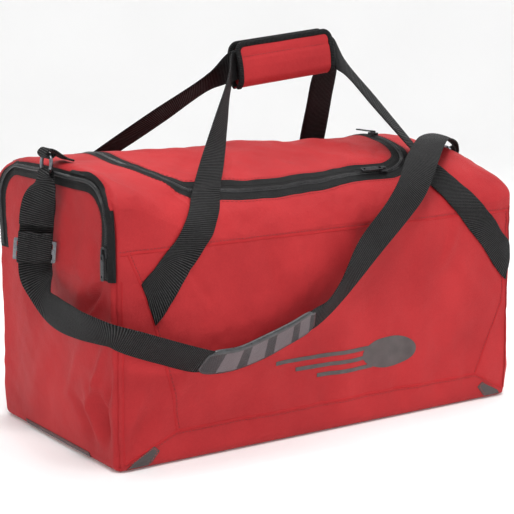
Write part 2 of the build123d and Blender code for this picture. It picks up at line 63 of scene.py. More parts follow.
# the rest are in mm; stations are x, height of the straight side, crown height and fullness
STATIONS = np.array([
    (-300.0, 290.0, 341.0, 2.8),
    (-245.0, 279.0, 343.0, 2.5),
    (-180.0, 256.0, 345.0, 1.9),
    (-60.0, 252.0, 346.0, 1.7),
    (90.0, 252.0, 346.0, 1.7),
    (205.0, 254.0, 342.0, 1.8),
    (258.0, 259.0, 332.0, 1.95),
    (300.0, 266.0, 314.0, 2.1),
])
ZIP_LEFT_X = -198.0
ZIP_RIGHT_X = 175.0
ZIP_FRONT_Y = -105.0
ZIP_BACK_Y = 112.0
ZIP_CORNER_R = 55.0
POCKET_HALF_Y = 135.0
POCKET_TOP_Z = 329.0
POCKET_BOTTOM_Z = 221.0
POCKET_CORNER_R = 44.0
WEB_WIDTH = 40.0
WEB_T = 2.2


# ------------------------------------------------------------------ small maths
def smooth(a, b, x):
    t = np.clip((x - a) / (b - a), 0.0, 1.0)
    return t * t * (3 - 2 * t)


def station(x):
    """Side height, crown height and fullness of the section at x, in metres."""
    mm = x / MM
    side = np.interp(mm, STATIONS[:, 0], STATIONS[:, 1]) * MM
    crown = np.interp(mm, STATIONS[:, 0], STATIONS[:, 2]) * MM
    power = np.interp(mm, STATIONS[:, 0], STATIONS[:, 3])
    return side, crown, power


def section_depth(points):
    """How far each point lies inside the bag's section at its own x."""
    side, crown, power = station(points[:, 0])
    angle = np.linspace(0.0, math.pi, 41)[None, :]
    c = np.cos(angle)
    s = np.sin(angle)
    y = HALF_Y * np.sign(c) * np.abs(c) ** (2 / power[:, None])
    z = side[:, None] + (crown - side)[:, None] * np.abs(s) ** (2 / power[:, None])
    floor_y = np.full((len(points), 1), HALF_Y)
    y = np.concatenate([floor_y, y, -floor_y], 1)
    z = np.concatenate([floor_y * 0, z, floor_y * 0], 1)
    ay, az = y[:, :-1], z[:, :-1]
    dy, dz = y[:, 1:] - ay, z[:, 1:] - az
    py, pz = points[:, 1:2], points[:, 2:3]
    t = ((py - ay) * dy + (pz - az) * dz) / np.maximum(dy * dy + dz * dz, 1e-12)
    t = np.clip(t, 0, 1)
    away = np.hypot(py - ay - t * dy, pz - az - t * dz)
    return away.min(1)


def outward(points):
    """Smooth outward direction of the bag's skin near each point."""
    x, y, z = points[:, 0], points[:, 1], points[:, 2]
    side, crown, power = station(x)
    top = np.clip((z - side) / (crown - side), 0, 1.05)
    e = power - 1
    ny_top = np.sign(y) * (np.abs(y) / HALF_Y) ** e / HALF_Y
    nz_top = top ** e / (crown - side)
    ny_side = np.sign(y) * (np.abs(y) / HALF_Y) ** 9 / HALF_Y
    on_top = z > side
    ny = np.where(on_top, ny_top, ny_side)
    nz = np.where(on_top, nz_top, 0.0)
    size = np.sqrt(ny * ny + nz * nz) + 1e-6
    weak = np.minimum(size * 0.13, 1.0)
    ny, nz = ny / size * weak, nz / size * weak
    wx = smooth(0.280, 0.2975, np.abs(x)) * 1.6
    n = np.stack([np.sign(x) * wx, ny, nz], 1)
    length = np.linalg.norm(n, axis=1, keepdims=True)
    return n / np.maximum(length, 0.25)


class Waves:
    """Smooth seeded undulation, a sum of plane waves of about one wavelength."""

    def __init__(self, wavelength, count, seed, stretch=(1, 1, 1)):
        r = np.random.RandomState(seed)
        d = r.normal(size=(count, 3))
        d /= np.linalg.norm(d, axis=1, keepdims=True)
        size = 2 * math.pi / wavelength * r.uniform(0.7, 1.35, (count, 1))
        self.k = d * size * np.array(stretch)[None, :]
        self.phase = r.uniform(0, 2 * math.pi, count)

    def __call__(self, p):
        return np.sin(p @ self.k.T + self.phase).sum(1) / math.sqrt(len(self.phase) / 2)


SWELL = Waves(0.150, 9, 3)
FOLD_WAVES = Waves(0.060, 12, 5, (1.0, 1.0, 0.55))
CREASE_WAVES = Waves(0.026, 14, 11)

FOLD_GAIN = 1.9
# folds in the fabric: start, end, half-width and height in mm
FOLDS = [
    ((-300, -112, 22), (-300, -84, 84), 9, 4.5),
    ((-300, -128, 30), (-300, -112, 92), 8, -3.5),
    ((-300, -94, 24), (-300, -52, 70), 10, -3.0),
    ((-300, -135, 66), (-300, -100, 104), 9, 2.5),
    ((-300, -120, 208), (-300, -66, 168), 11, -4.0),
    ((-300, -128, 232), (-300, -92, 196), 8, 3.0),
    ((-300, -100, 262), (-300, -128, 224), 10, -3.2),
    ((-300, -20, 200), (-300, 70, 150), 26, -3.0),
    ((-300, 60, 40), (-300, 10, 110), 18, 2.6),
    ((-292, -150, 40), (-262, -150, 96), 9, 2.6),
    ((-280, -150, 20), (-246, -150, 70), 9, -2.4),
    ((-236, -150, 60), (-206, -150, 120), 12, 2.0),
    ((-180, -150, 60), (-60, -150, 190), 30, 2.0),
    ((-96, -150, 244), (-70, -150, 176), 9, -1.8),
    ((-52, -150, 246), (-40, -150, 168), 8, 1.5),
    ((20, -150, 246), (40, -150, 180), 12, 1.4),
    ((110, -150, 150), (232, -150, 60), 26, -2.0),
    ((196, -150, 200), (262, -150, 120), 14, 1.9),
    ((252, -150, 214), (288, -150, 150), 8, -1.6),
    ((-236, -132, 290), (-196, -118, 308), 8, -3.2),
    ((-228, -120, 302), (-206, -100, 318), 6, 2.4),
    ((-262, -142, 268), (-214, -136, 286), 8, 1.8),
    ((-160, -140, 282), (-96, -136, 290), 12, 1.5),
    ((-166, -80, 326), (-128, -36, 340), 12, -3.6),
    ((-150, -94, 318), (-120, -72, 330), 7, 2.6),
    ((-100, -76, 330), (-30, -30, 342), 14, 1.8),
    ((-20, -60, 336), (60, -70, 334), 16, -1.4),
    ((210, -120, 300), (262, -60, 322), 14, 2.2),
    ((226, -60, 330), (280, 20, 322), 15, -2.4),
    ((236, -140, 262), (268, -128, 288), 9, -1.8),
    ((-150, 150, 60), (60, 150, 200), 30, 2.4),
    ((60, 150, 220), (200, 150, 90), 24, -2.4),
    ((-250, 150, 40), (-200, 150, 120), 12, 2.2),
    ((250, 150, 40), (210, 150, 130), 12, -2.2),
    ((300, -110, 26), (300, -60, 110), 12, 3.4),
    ((300, 110, 26), (300, 60, 120), 12, -3.2),
    ((300, -60, 230), (300, 40, 160), 20, -3.0),
    ((300, 90, 230), (300, 40, 200), 12, 2.4),
    ((-286, -146, 262), (-240, -120, 300), 5, 2.2),
    ((-270, -148, 256), (-230, -130, 294), 4, -1.8),
    ((-226, -100, 318), (-186, -60, 334), 5, 1.8),
    ((-248, -90, 322), (-214, -40, 338), 6, -2.0),
    ((-300, -128, 150), (-300, -88, 60), 6, 3.0),
    ((-300, -140, 120), (-300, -118, 40), 5, -2.6),
    ((-300, -130, 214), (-300, -96, 168), 5, 2.6),
    ((-300, -70, 130), (-300, -30, 60), 8, 2.0),
    ((-130, -60, 334), (-96, -20, 344), 5, 1.8),
    ((-112, -84, 326), (-84, -50, 336), 4, -1.5),
    ((96, -60, 334), (132, 0, 344), 6, 1.6),
    ((118, -84, 326), (150, -50, 338), 5, -1.5),
    ((-206, -150, 236), (-170, -150, 180), 6, -1.6),
    ((206, -150, 244), (176, -150, 190), 6, 1.4),
]

# where sewn seams run (mm); the cloth puckers along them
BAND_LINE = [(-290, 10), (-286, 12), (-250, 25), (-219, 38), (239, 38), (272, 20), (290, 11)]
LEFT_LINE = [(-281, 252), (-265, 216), (-248, 167), (-235, 113), (-219, 38)]
RIGHT_LINE = [(286.5, 252), (286.5, 175), (283, 132), (239, 38)]


def wall_line(line, y):
    return [(x, y, z) for x, z in line]


SEAMS = {
    "front_upper": [(-291, -150, 252), (291, -150, 252)],
    "back_upper": [(-291, 150, 252), (291, 150, 252)],
    "front_band": wall_line(BAND_LINE, -150),
    "back_band": wall_line(BAND_LINE, 150),
    "front_left": wall_line(LEFT_LINE, -150),
    "front_right": wall_line(RIGHT_LINE, -150),
    "back_left": wall_line(LEFT_LINE, 150),
    "back_right": wall_line(RIGHT_LINE, 150),
    "corner_front_left": [(-291, -150, 12), (-291, -150, 222)],
    "corner_front_right": [(291, -150, 12), (291, -150, 258)],
    "corner_back_left": [(-291, 150, 12), (-291, 150, 222)],
    "corner_back_right": [(291, 150, 12), (291, 150, 258)],
}


def line_distance(points, a, b):
    """Distance from a segment, and how far along it, for many points."""
    a, b = np.array(a, float) * MM, np.array(b, float) * MM
    d = b - a
    t = np.clip((points - a) @ d / (d @ d), 0, 1)
    away = np.linalg.norm(points - a - t[:, None] * d, axis=1)
    return away, t


# hard fittings that the cloth meets flat, mm
HARD_SPOTS = [
    (112, -105, 311), (100, -105, 314), (175, -8, 344), (175, 8, 344),
    (-300, -135, 250), (-300, -135, 234),
]


def lift_field(p):
    """Height of the cloth above the smooth CAD skin, in metres."""
    x, y, z = p[:, 0], p[:, 1], p[:, 2]
    on_floor = smooth(0.004, 0.040, z)
    face = smooth(0.285, 0.225, np.abs(x)) * smooth(0.02, 0.11, z) * smooth(0.262, 0.19, z)
    h = 2.6 * face * (np.abs(y) > 0.12)
    end = smooth(0.292, 0.297, np.abs(x)) * smooth(0.13, 0.07, np.abs(y))
    h = h + end * 3.2 * smooth(0.01, 0.12, z) * smooth(0.30, 0.18, z)
    h = h + 1.3 * SWELL(p) + 0.85 * FOLD_WAVES(p) + 0.24 * CREASE_WAVES(p)
    for a, b, width, height in FOLDS:
        away, t = line_distance(p, a, b)
        taper = np.sin(math.pi * np.clip(t * 0.9 + 0.05, 0, 1)) ** 0.7
        h = h + FOLD_GAIN * height * np.exp(-(away / (width * MM)) ** 2) * taper
    pucker = np.zeros(len(p))
    for number, line in enumerate(SEAMS.values()):
        run = 0.0
        for a, b in zip(line[:-1], line[1:]):
            length = math.dist(a, b)
            away, t = line_distance(p, a, b)
            s = run + t * length
            wave = np.sin(s / 2.6 + number) + 0.7 * np.sin(s / 4.3 + 2 * number)
            pucker = pucker + wave * np.exp(-(away / 0.010) ** 2)
            run += length
    h = h + 0.22 * pucker
    for spot in HARD_SPOTS:
        away = np.linalg.norm(p - np.array(spot) * MM, axis=1)
        h = h * smooth(0.010, 0.040, away)
    return h * on_floor * MM


def round_corner(a, b, radius):
    """Square corner drawn in to a quarter circle; a and b are depths below the two faces."""
    u = radius - a
    v = radius - b
    inside = (u > 0) & (v > 0)
    most = np.maximum(u, v)
    size = np.maximum(np.hypot(u, v), 1e-9)
    scale = np.where(inside, most / size, 1.0)
    return np.where(inside, u * (1 - scale), 0.0), np.where(inside, v * (1 - scale), 0.0)


# how far the cloth slides left and forward along the skin, and the rounding of its edges, in metres
LEFT_DRIFT = 0.034
FRONT_DRIFT = 0.009
SIDE_ROUND = 0.011
FLOOR_ROUND = 0.010


def roof(x, y):
    """Height of the smooth skin over one point of the plan."""
    side, crown, power = station(x)
    across = np.clip(np.abs(y) / HALF_Y, 0, 0.985)
    return side + (crown - side) * (1 - across ** power) ** (1 / power)


def drift(points):
    """Cloth slid along the skin, so that the zip runs further left and further forward."""
    x, y, z = points[:, 0], points[:, 1], points[:, 2]
    top = smooth(0.262, 0.285, z)
    across = smooth(-0.299, -0.232, x) * smooth(-0.080, -0.176, x)
    along = smooth(-0.146, -0.112, y) * smooth(0.104, 0.055, y)
    dx = -LEFT_DRIFT * across * along * top
    front = smooth(-0.149, -0.120, y) * smooth(-0.040, -0.090, y)
    span = smooth(-0.215, -0.160, x) * smooth(0.085, 0.000, x)
    dy = -FRONT_DRIFT * front * span * top
    rise = roof(x + dx, y + dy) - roof(x, y)
    return points + np.stack([dx, dy, rise], 1)


def warp(points, slides=True):
    """The cloth's own shape: CAD points moved to softened edges, sag, folds and puckers."""
    points = np.array(points, float)
    if slides:
        points = drift(points)
    p = np.array(points, float)
    near = np.abs(p[:, 0]) > 0.288
    if near.any():
        q = p[near]
        depth_x = HALF_X - np.abs(q[:, 0])
        depth_s = section_depth(q)
        move_x, move_s = round_corner(depth_x, depth_s, SIDE_ROUND)
        n = outward(q * np.array([0.9, 1, 1]))
        q[:, 0] -= np.sign(q[:, 0]) * move_x
        q -= n * move_s[:, None]
        p[near] = q
    low = p[:, 2] < 0.012
    if low.any():
        q = p[low]
        gap_y = WALL_Y - np.abs(q[:, 1])
        gap_x = HALF_X - np.abs(q[:, 0])
        move_z, move_y = round_corner(q[:, 2], gap_y, FLOOR_ROUND)
        q[:, 2] += move_z
        q[:, 1] -= np.sign(q[:, 1]) * move_y
        move_z, move_x = round_corner(q[:, 2], gap_x, FLOOR_ROUND)
        q[:, 2] += move_z
        q[:, 0] -= np.sign(q[:, 0]) * move_x
        p[low] = q
    base = np.array(points, float)
    return p + outward(base) * lift_field(base)[:, None]


# ------------------------------------------------------------------ materials
def new_material(name):
    m = bpy.data.materials.new(name)
    m.use_nodes = True
    return m, m.node_tree, m.node_tree.nodes["Principled BSDF"]


def node(tree, kind, **values):
    n = tree.nodes.new(kind)
    for key, value in values.items():
        if key.startswith("in_"):
            n.inputs[key[3:]].default_value = value
        else:
            setattr(n, key, value)
    return n


def math_node(tree, operation, a, b=None):
    n = node(tree, "ShaderNodeMath", operation=operation)
    for i, value in enumerate((a, b)):
        if value is None:
            continue
        if isinstance(value, (int, float)):
            n.inputs[i].default_value = value
        else:
            tree.links.new(value, n.inputs[i])
    return n.outputs[0]


def times(tree, a, b):
    return math_node(tree, "MULTIPLY", a, b)


def plus(tree, a, b):
    return math_node(tree, "ADD", a, b)


def ramp(tree, source, stops):
    n = tree.nodes.new("ShaderNodeValToRGB")
    while len(n.color_ramp.elements) < len(stops):
        n.color_ramp.elements.new(0.5)
    for element, (place, colour) in zip(n.color_ramp.elements, stops):
        element.position = place
        element.color = (*colour, 1)
    tree.links.new(source, n.inputs[0])
    return n.outputs[0]


def noise(tree, vector, scale, detail=3.0, rough=0.5):
    n = node(tree, "ShaderNodeTexNoise", in_Scale=scale, in_Detail=detail, in_Roughness=rough)
    tree.links.new(vector, n.inputs["Vector"])
    return n.outputs["Fac"]


def bump(tree, height, strength, distance, below=None):
    n = node(tree, "ShaderNodeBump", in_Strength=strength, in_Distance=distance)
    tree.links.new(height, n.inputs["Height"])
    if below is not None:
        tree.links.new(below, n.inputs["Normal"])
    return n.outputs["Normal"]


def thread_wave(tree, vector, direction, pitch):
    """0..1 wave of threads across one direction of a coordinate."""
    dot = node(tree, "ShaderNodeVectorMath", operation="DOT_PRODUCT")
    tree.links.new(vector, dot.inputs[0])
    dot.inputs[1].default_value = Vector(direction)
    phase = times(tree, dot.outputs["Value"], 2 * math.pi / pitch)
    return times(tree, plus(tree, math_node(tree, "SINE", phase), 1.0), 0.5)


FINE_SHARE = 0.2


def fabric_material(name, dark, light, rough, sheen, sheen_tint, weave=0.0011, weave_depth=0.00006):
    """Woven cloth: two crossing thread waves, broad colour variation and rubbed highlights."""
    m, tree, shader = new_material(name)
    place = node(tree, "ShaderNodeTexCoord").outputs["Object"]
    warp_threads = thread_wave(tree, place, (0.9, 0.55, 1.0), weave)
    weft_threads = thread_wave(tree, place, (0.9, 0.55, -1.0), weave)
    threads = times(tree, warp_threads, weft_threads)
    broad = noise(tree, place, 9.0, 4.0, 0.55)
    fine = noise(tree, place, 420.0, 2.0, 0.6)
    mix = plus(tree, times(tree, broad, 1 - FINE_SHARE), times(tree, fine, FINE_SHARE))
    mix = plus(tree, mix, times(tree, math_node(tree, "SUBTRACT", threads, 0.25), 0.18))
    tree.links.new(ramp(tree, mix, [(0.30, dark), (0.70, light)]), shader.inputs["Base Color"])
    tree.links.new(plus(tree, times(tree, broad, 0.16), rough - 0.08), shader.inputs["Roughness"])
    creases = noise(tree, place, 34.0, 5.0, 0.62)
    normal = bump(tree, creases, 0.40, 0.0045)
    normal = bump(tree, threads, 0.55, weave_depth * 4, normal)
    tree.links.new(normal, shader.inputs["Normal"])
    shader.inputs["Sheen Weight"].default_value = sheen
    shader.inputs["Sheen Roughness"].default_value = 0.45
    shader.inputs["Sheen Tint"].default_value = (*sheen_tint, 1)
    shader.inputs["Specular IOR Level"].default_value = 0.22
    return m


def webbing_material(name, dark, light, rib=0.0025, rough=0.66, diagonal=0.12):
    """Ribbed woven strap: cross ribs on the strap's own length and width, with a painted highlight that makes
    the rib crests paler in base colour.
    """
    m, tree, shader = new_material(name)
    uv = node(tree, "ShaderNodeTexCoord").outputs["UV"]
    place = node(tree, "ShaderNodeTexCoord").outputs["Object"]
    ribs = thread_wave(tree, uv, (1.0, diagonal, 0.0), rib)
    threads = thread_wave(tree, uv, (0.25, 1.0, 0.0), 0.0013)
    grain = noise(tree, place, 260.0, 3.0, 0.6)
    broad = noise(tree, place, 22.0, 3.0, 0.5)
    # painted highlight: the rib crests get a paler base colour, standing in for light caught on them
    painted_crest_highlight = times(tree, ribs, plus(tree, times(tree, threads, 0.5), 0.5))
    painted_crest_highlight = math_node(tree, "POWER", painted_crest_highlight, 2.4)
    mix = plus(tree, times(tree, painted_crest_highlight, 0.72), times(tree, grain, 0.22))
    mix = plus(tree, mix, times(tree, broad, 0.12))
    tree.links.new(ramp(tree, mix, [(0.18, dark), (0.82, light)]), shader.inputs["Base Color"])
    smoothed = math_node(tree, "SUBTRACT", rough + 0.10, times(tree, painted_crest_highlight, 0.18))
    tree.links.new(smoothed, shader.inputs["Roughness"])
    normal = bump(tree, ribs, 0.9, 0.0008)
    normal = bump(tree, threads, 0.35, 0.0002, normal)
    normal = bump(tree, broad, 0.25, 0.0016, normal)
    tree.links.new(normal, shader.inputs["Normal"])
    shader.inputs["Specular IOR Level"].default_value = 0.16
    return m


def solid_material(name, dark, light, rough, metallic=0.0, scale=160.0, depth=0.0002, coat=0.0,
                   specular=0.5):
    """Moulded, printed or metal surface with grain and rubbed patches."""
    m, tree, shader = new_material(name)
    place = node(tree, "ShaderNodeTexCoord").outputs["Object"]
    grain = noise(tree, place, scale * 4, 3.0, 0.6)
    wear = noise(tree, place, scale, 5.0, 0.6)
    tree.links.new(ramp(tree, wear, [(0.36, dark), (0.66, light)]), shader.inputs["Base Color"])
    tree.links.new(plus(tree, times(tree, wear, 0.24), rough - 0.12), shader.inputs["Roughness"])
    tree.links.new(bump(tree, grain, 0.4, depth), shader.inputs["Normal"])
    shader.inputs["Metallic"].default_value = metallic
    shader.inputs["Coat Weight"].default_value = coat
    shader.inputs["Specular IOR Level"].default_value = specular
    return m


RED = fabric_material("red_cloth", (0.345, 0.013, 0.017), (0.505, 0.028, 0.032), 0.64, 0.03,
                      (1.0, 0.45, 0.40))
LINING = fabric_material("lining_cloth", (0.030, 0.028, 0.030), (0.060, 0.056, 0.058), 0.72, 0.1,
                         (1, 1, 1), 0.0016)
TAPE = fabric_material("zip_tape_cloth", (0.0030, 0.0030, 0.0033), (0.0085, 0.0085, 0.0090), 0.66, 0.0,
                       (1, 1, 1), 0.0017, 0.00012)
# the pale colour of each webbing is the painted highlight on its rib crests
BINDING = webbing_material("binding_cloth", (0.0030, 0.0030, 0.0032), (0.0300, 0.0300, 0.0310), 0.0020,
                           0.60, 0.0)
WEB = webbing_material("strap_webbing", (0.0028, 0.0028, 0.0030), (0.0800, 0.0790, 0.0800))
COIL = solid_material("zip_coil", (0.010, 0.010, 0.011), (0.028, 0.028, 0.030), 0.34, specular=0.6)
BLACK_METAL = solid_material("zip_black_metal", (0.012, 0.012, 0.013), (0.05, 0.05, 0.055), 0.32, 0.5,
                             300.0)
NICKEL = solid_material("ring_dark_nickel", (0.12, 0.125, 0.14), (0.24, 0.25, 0.27), 0.32, 0.9, 240.0)
ADJUSTER = solid_material("adjuster_grey_metal", (0.12, 0.125, 0.135), (0.22, 0.225, 0.24), 0.36, 0.85,
                          240.0)
PAD_BASE = fabric_material("pad_dark_cloth", (0.020, 0.019, 0.021), (0.045, 0.043, 0.046), 0.6, 0.12,
                           (1, 1, 1), 0.0018, 0.00012)
PAD_GREY = fabric_material("pad_grey_bars", (0.105, 0.090, 0.096), (0.150, 0.130, 0.138), 0.50, 0.1,
                           (1, 1, 1), 0.0014)
PAD_RIM = solid_material("pad_rim_vinyl", (0.022, 0.023, 0.025), (0.045, 0.046, 0.050), 0.30, specular=0.5,
                         coat=0.2)
BOARD = solid_material("base_board_sheet", (0.030, 0.030, 0.031), (0.050, 0.050, 0.052), 0.55)
WORN = fabric_material("wear_patch_cloth", (0.060, 0.050, 0.050), (0.105, 0.088, 0.086), 0.66, 0.1,
                       (1, 1, 1), 0.0013)
PRINT = solid_material("dark_print_film", (0.060, 0.046, 0.046), (0.086, 0.066, 0.066), 0.50, scale=60.0,
                       depth=0.0001)
RED_THREAD = solid_material("red_thread", (0.14, 0.008, 0.010), (0.22, 0.012, 0.016), 0.6, scale=900.0)
BRIGHT_THREAD = solid_material("bright_red_thread", (0.50, 0.03, 0.035), (0.66, 0.05, 0.055), 0.6,
                               scale=900.0)
BLACK_THREAD = solid_material("black_thread", (0.006, 0.006, 0.006), (0.018, 0.018, 0.018), 0.55,
                              scale=900.0)
SEAM_RED = fabric_material("red_seam_cloth", (0.360, 0.010, 0.014), (0.49, 0.018, 0.022), 0.62, 0.03,
                           (1.0, 0.45, 0.4))


# ------------------------------------------------------------------ mesh helpers
def make_object(name, points, faces, materials, face_slots=None, uvs=None, smooth_angle=40.0):
    mesh = bpy.data.meshes.new(name)
    mesh.from_pydata([tuple(p) for p in points], [], [tuple(f) for f in faces])
    for m in materials:
        mesh.materials.append(m)
    if face_slots is not None:
        mesh.polygons.foreach_set("material_index", np.array(face_slots, np.int32))
    if uvs is not None:
        layer = mesh.uv_layers.new(name="UVMap")
        loops = np.zeros(len(mesh.loops), np.int32)
        mesh.loops.foreach_get("vertex_index", loops)
        layer.data.foreach_set("uv", np.array(uvs, np.float32)[loops].ravel())
    mesh.shade_smooth()
    mesh.set_sharp_from_angle(angle=math.radians(smooth_angle))
    mesh.validate()
    obj = bpy.data.objects.new(name, mesh)
    bpy.context.scene.collection.objects.link(obj)
    return obj

def add_piece(name, points, faces, materials, body, slot=None, cads=(), **look):
    """New mesh that rides on a body and replaces CAD nodes."""
    obj = make_object(name, points, faces, materials, **look)
    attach(obj, body)
    if cads:
        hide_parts(*cads)
    return obj


def tube_faces(start, cuts, size):
    """Faces round a run of closed cuts of `size` points each, the first one at point `start`."""
    faces = []
    for a in range(start, start + (cuts - 1) * size, size):
        for j in range(size):
            k = (j + 1) % size
            faces.append((a + j, a + k, a + size + k, a + size + j))
    return faces


def grid_faces(lines, size):
    """Faces of an open sheet made of lines of `size` points each."""
    faces = []
    for a in range(0, (lines - 1) * size, size):
        for j in range(size - 1):
            faces.append((a + j, a + j + 1, a + size + j + 1, a + size + j))
    return faces


def cad_mesh(name):
    """Welded points and triangles of a CAD node, in metres."""
    mesh = NODES[name].data
    seen = {}
    points = []
    index = []
    for v in mesh.vertices:
        key = (round(v.co.x, 6), round(v.co.y, 6), round(v.co.z, 6))
        if key not in seen:
            seen[key] = len(points)
            points.append([v.co.x, v.co.y, v.co.z])
        index.append(seen[key])
    faces = []
    for polygon in mesh.polygons:
        face = [index[v] for v in polygon.vertices]
        if len(set(face)) == len(face):
            faces.append(face)
    return points, faces


def slice_axis(points, faces, axis, step):
    """Every face cut along planes at whole multiples of step across one axis."""
    cut = {}
    out = []
    tiny = 1e-7
    for face in faces:
        values = [points[v][axis] for v in face]
        first = math.floor(min(values) / step) + 1
        last = math.ceil(max(values) / step) - 1
        rest = face
        for k in range(first, last + 1):
            level = k * step
            below = []
            above = []
            count = len(rest)
            for i, a in enumerate(rest):
                b = rest[(i + 1) % count]
                va = points[a][axis] - level
                vb = points[b][axis] - level
                if va <= tiny:
                    below.append(a)
                if va >= -tiny:
                    above.append(a)
                if (va < -tiny and vb > tiny) or (vb < -tiny and va > tiny):
                    key = (min(a, b), max(a, b), k)
                    if key not in cut:
                        lo, hi = key[0], key[1]
                        vl = points[lo][axis] - level
                        vh = points[hi][axis] - level
                        t = vl / (vl - vh)
                        points.append([points[lo][j] + t * (points[hi][j] - points[lo][j]) for j in range(3)])
                        cut[key] = len(points) - 1
                    below.append(cut[key])
                    above.append(cut[key])
            if len(below) >= 3:
                out.append(below)
            rest = above
            if len(rest) < 3:
                break
        if len(rest) >= 3:
            out.append(rest)
    return out


def cloth_panel(name, cad, body, material, inner=None, slot=None):
    """A CAD panel as cloth: cut fine, bent with the cloth's own shape, lined inside."""
    points, faces = cad_mesh(cad)
    for axis in range(3):
        faces = slice_axis(points, faces, axis, STEP)
    flat = np.array(points)
    slots = None
    materials = [material]
    if inner is not None:
        materials.append(inner)
        centres = np.array([flat[f].mean(0) for f in faces])
        a = np.array([flat[f[0]] for f in faces])
        b = np.array([flat[f[1]] for f in faces])
        c = np.array([flat[f[2]] for f in faces])
        normal = np.cross(b - a, c - a)
        normal /= np.maximum(np.linalg.norm(normal, axis=1, keepdims=True), 1e-15)
        side = (normal * outward(centres)).sum(1)
        inward_floor = (centres[:, 2] < 0.0045) & (centres[:, 2] > 0.0015) & (normal[:, 2] > 0.5)
        slots = ((side < -0.3) | inward_floor).astype(int)
    add_piece(name, warp(flat), faces, materials, body, slot, [cad], face_slots=slots)


def skin_tree(names):
    points = []
    faces = []
    for n in names:
        p, f = cad_mesh(n)
        faces += [[v + len(points) for v in face] for face in f]
        points += p
    return BVHTree.FromPolygons([Vector(p) for p in points], faces)


PANELS = ["front_panel", "front_corner_left", "front_corner_right", "back_panel", "back_corner_left",
          "back_corner_right", "left_end_panel", "right_end_panel", "top_bridge_left",
          "top_bridge_right", "front_yoke", "back_yoke", "bottom_panel"]
CAD_SKIN = skin_tree(PANELS + ["main_zip_tape", "pocket_zip_tape", "lid_panel", "lid_zip_tape",
                               "pocket_flap", "pocket_flap_tape"])


def drop(x, y):
    """Point of the CAD skin straight under (x, y), mm."""
    hit = CAD_SKIN.ray_cast(Vector((x, y, 500)) * MM, Vector((0, 0, -1)))
    return hit[0] / MM


def on_skin(x, angle, lift):
    """Point above the CAD skin, seen from the bag's long axis at the given angle, mm."""
    rad = math.radians(angle)
    ray = Vector((0, math.cos(rad), math.sin(rad)))
    centre = Vector((x, 0, 200))
    hit = CAD_SKIN.ray_cast((centre + ray * 260) * MM, -ray)
    return hit[0] / MM + ray * lift


def catmull(values, per):
    """Smooth curve through rows of numbers, `per` steps between neighbours."""
    v = np.array(values, float)
    v = np.vstack([2 * v[0] - v[1], v, 2 * v[-1] - v[-2]])
    out = []
    for i in range(1, len(v) - 2):
        p0, p1, p2, p3 = v[i - 1], v[i], v[i + 1], v[i + 2]
        d1 = max(np.linalg.norm((p1 - p0)[:3]), 1e-6) ** 0.5
        d2 = max(np.linalg.norm((p2 - p1)[:3]), 1e-6) ** 0.5
        d3 = max(np.linalg.norm((p3 - p2)[:3]), 1e-6) ** 0.5
        m1 = (p1 - p0) / d1 - (p2 - p0) / (d1 + d2) + (p2 - p1) / d2
        m2 = (p2 - p1) / d2 - (p3 - p1) / (d2 + d3) + (p3 - p2) / d3
        for k in range(per):
            t = k / per
            h00 = 2 * t ** 3 - 3 * t ** 2 + 1
            h10 = t ** 3 - 2 * t ** 2 + t
            h01 = -2 * t ** 3 + 3 * t ** 2
            h11 = t ** 3 - t ** 2
            out.append(h00 * p1 + h10 * d2 * m1 + h01 * p2 + h11 * d2 * m2)
    out.append(v[-2])
    return np.array(out)


def unit(v):
    return v / max(np.linalg.norm(v), 1e-12)


def sweep(centres, acrosses, widths, section, square=True):
    """Mesh swept along centres; section(i, width) gives (across, up) pairs round one cut."""
    count = len(centres)
    points = []
    uvs = []
    run = 0.0
    size = None
    for i in range(count):
        tangent = unit(centres[min(i + 1, count - 1)] - centres[max(i - 1, 0)])
        w = acrosses[i]
        if square:
            w = unit(w - tangent * (w @ tangent))
        n = unit(np.cross(tangent, w))
        if i:
            run += np.linalg.norm(centres[i] - centres[i - 1])
        ring = section(i, widths[i])
        size = len(ring)
        for a, u in ring:
            points.append(centres[i] + w * a + n * u)
            uvs.append((run * MM, a * MM))
    faces = tube_faces(0, count, size)
    faces.append(tuple(range(size))[::-1])
    faces.append(tuple((count - 1) * size + j for j in range(size)))
    return np.array(points), faces, uvs


SELVEDGE = 1.6
WEB_STEPS = 8


def web_section(_, width):
    """Cut across a strap: rounded selvedges a little thicker than the middle."""
    half = width / 2
    upper = []
    for k in range(WEB_STEPS + 1):
        a = -half + 2 * half * k / WEB_STEPS
        up = WEB_T / 2
        if k in (0, WEB_STEPS):
            up *= 0.35
        if k == 1:
            a = -half + min(SELVEDGE, half * 0.3)
            up *= 1.18
        if k == WEB_STEPS - 1:
            a = half - min(SELVEDGE, half * 0.3)
            up *= 1.18
        upper.append((a, up))
    return upper + [(a, -up) for a, up in upper[::-1]]


def frame_curve(frames, per):
    """Smooth centres, width directions and widths through (centre, width direction, width), mm."""
    rows = []
    before = None
    for centre, across, width in frames:
        w = unit(np.array(across, float))
        if before is not None and w @ before < 0:
            w = -w
        before = w
        rows.append([*centre, *(w * 30), width])
    curve = catmull(rows, per)
    return curve[:, :3], [unit(r) for r in curve[:, 3:6]], curve[:, 6]


def add_strap(name, frames, body, cad):
    """Smooth strap through its frames, riding on one body."""
    points, faces, uvs = sweep(*frame_curve(frames, 7), web_section)
    add_piece(name, points * MM, faces, [WEB], body, "black_webbing", [cad], uvs=uvs, smooth_angle=50.0)


def polyline(points, pitch):
    """Even steps along straight runs, with each step's direction, mm."""
    pts = [np.array(p, float) for p in points]
    lengths = [np.linalg.norm(b - a) for a, b in zip(pts[:-1], pts[1:])]
    total = sum(lengths)
    count = max(int(total / pitch), 1)
    places = []
    for k in range(count + 1):
        s = total * k / count
        for a, b, length in zip(pts[:-1], pts[1:], lengths):
            if s <= length + 1e-6:
                places.append(a + (b - a) * (s / max(length, 1e-9)))
                break
            s -= length
    return np.array(places)


def lifted(places, lift):
    """Places on the CAD skin lifted along the outward direction, mm."""
    p = np.array(places) * MM
    return (p + outward(p) * lift * MM) / MM


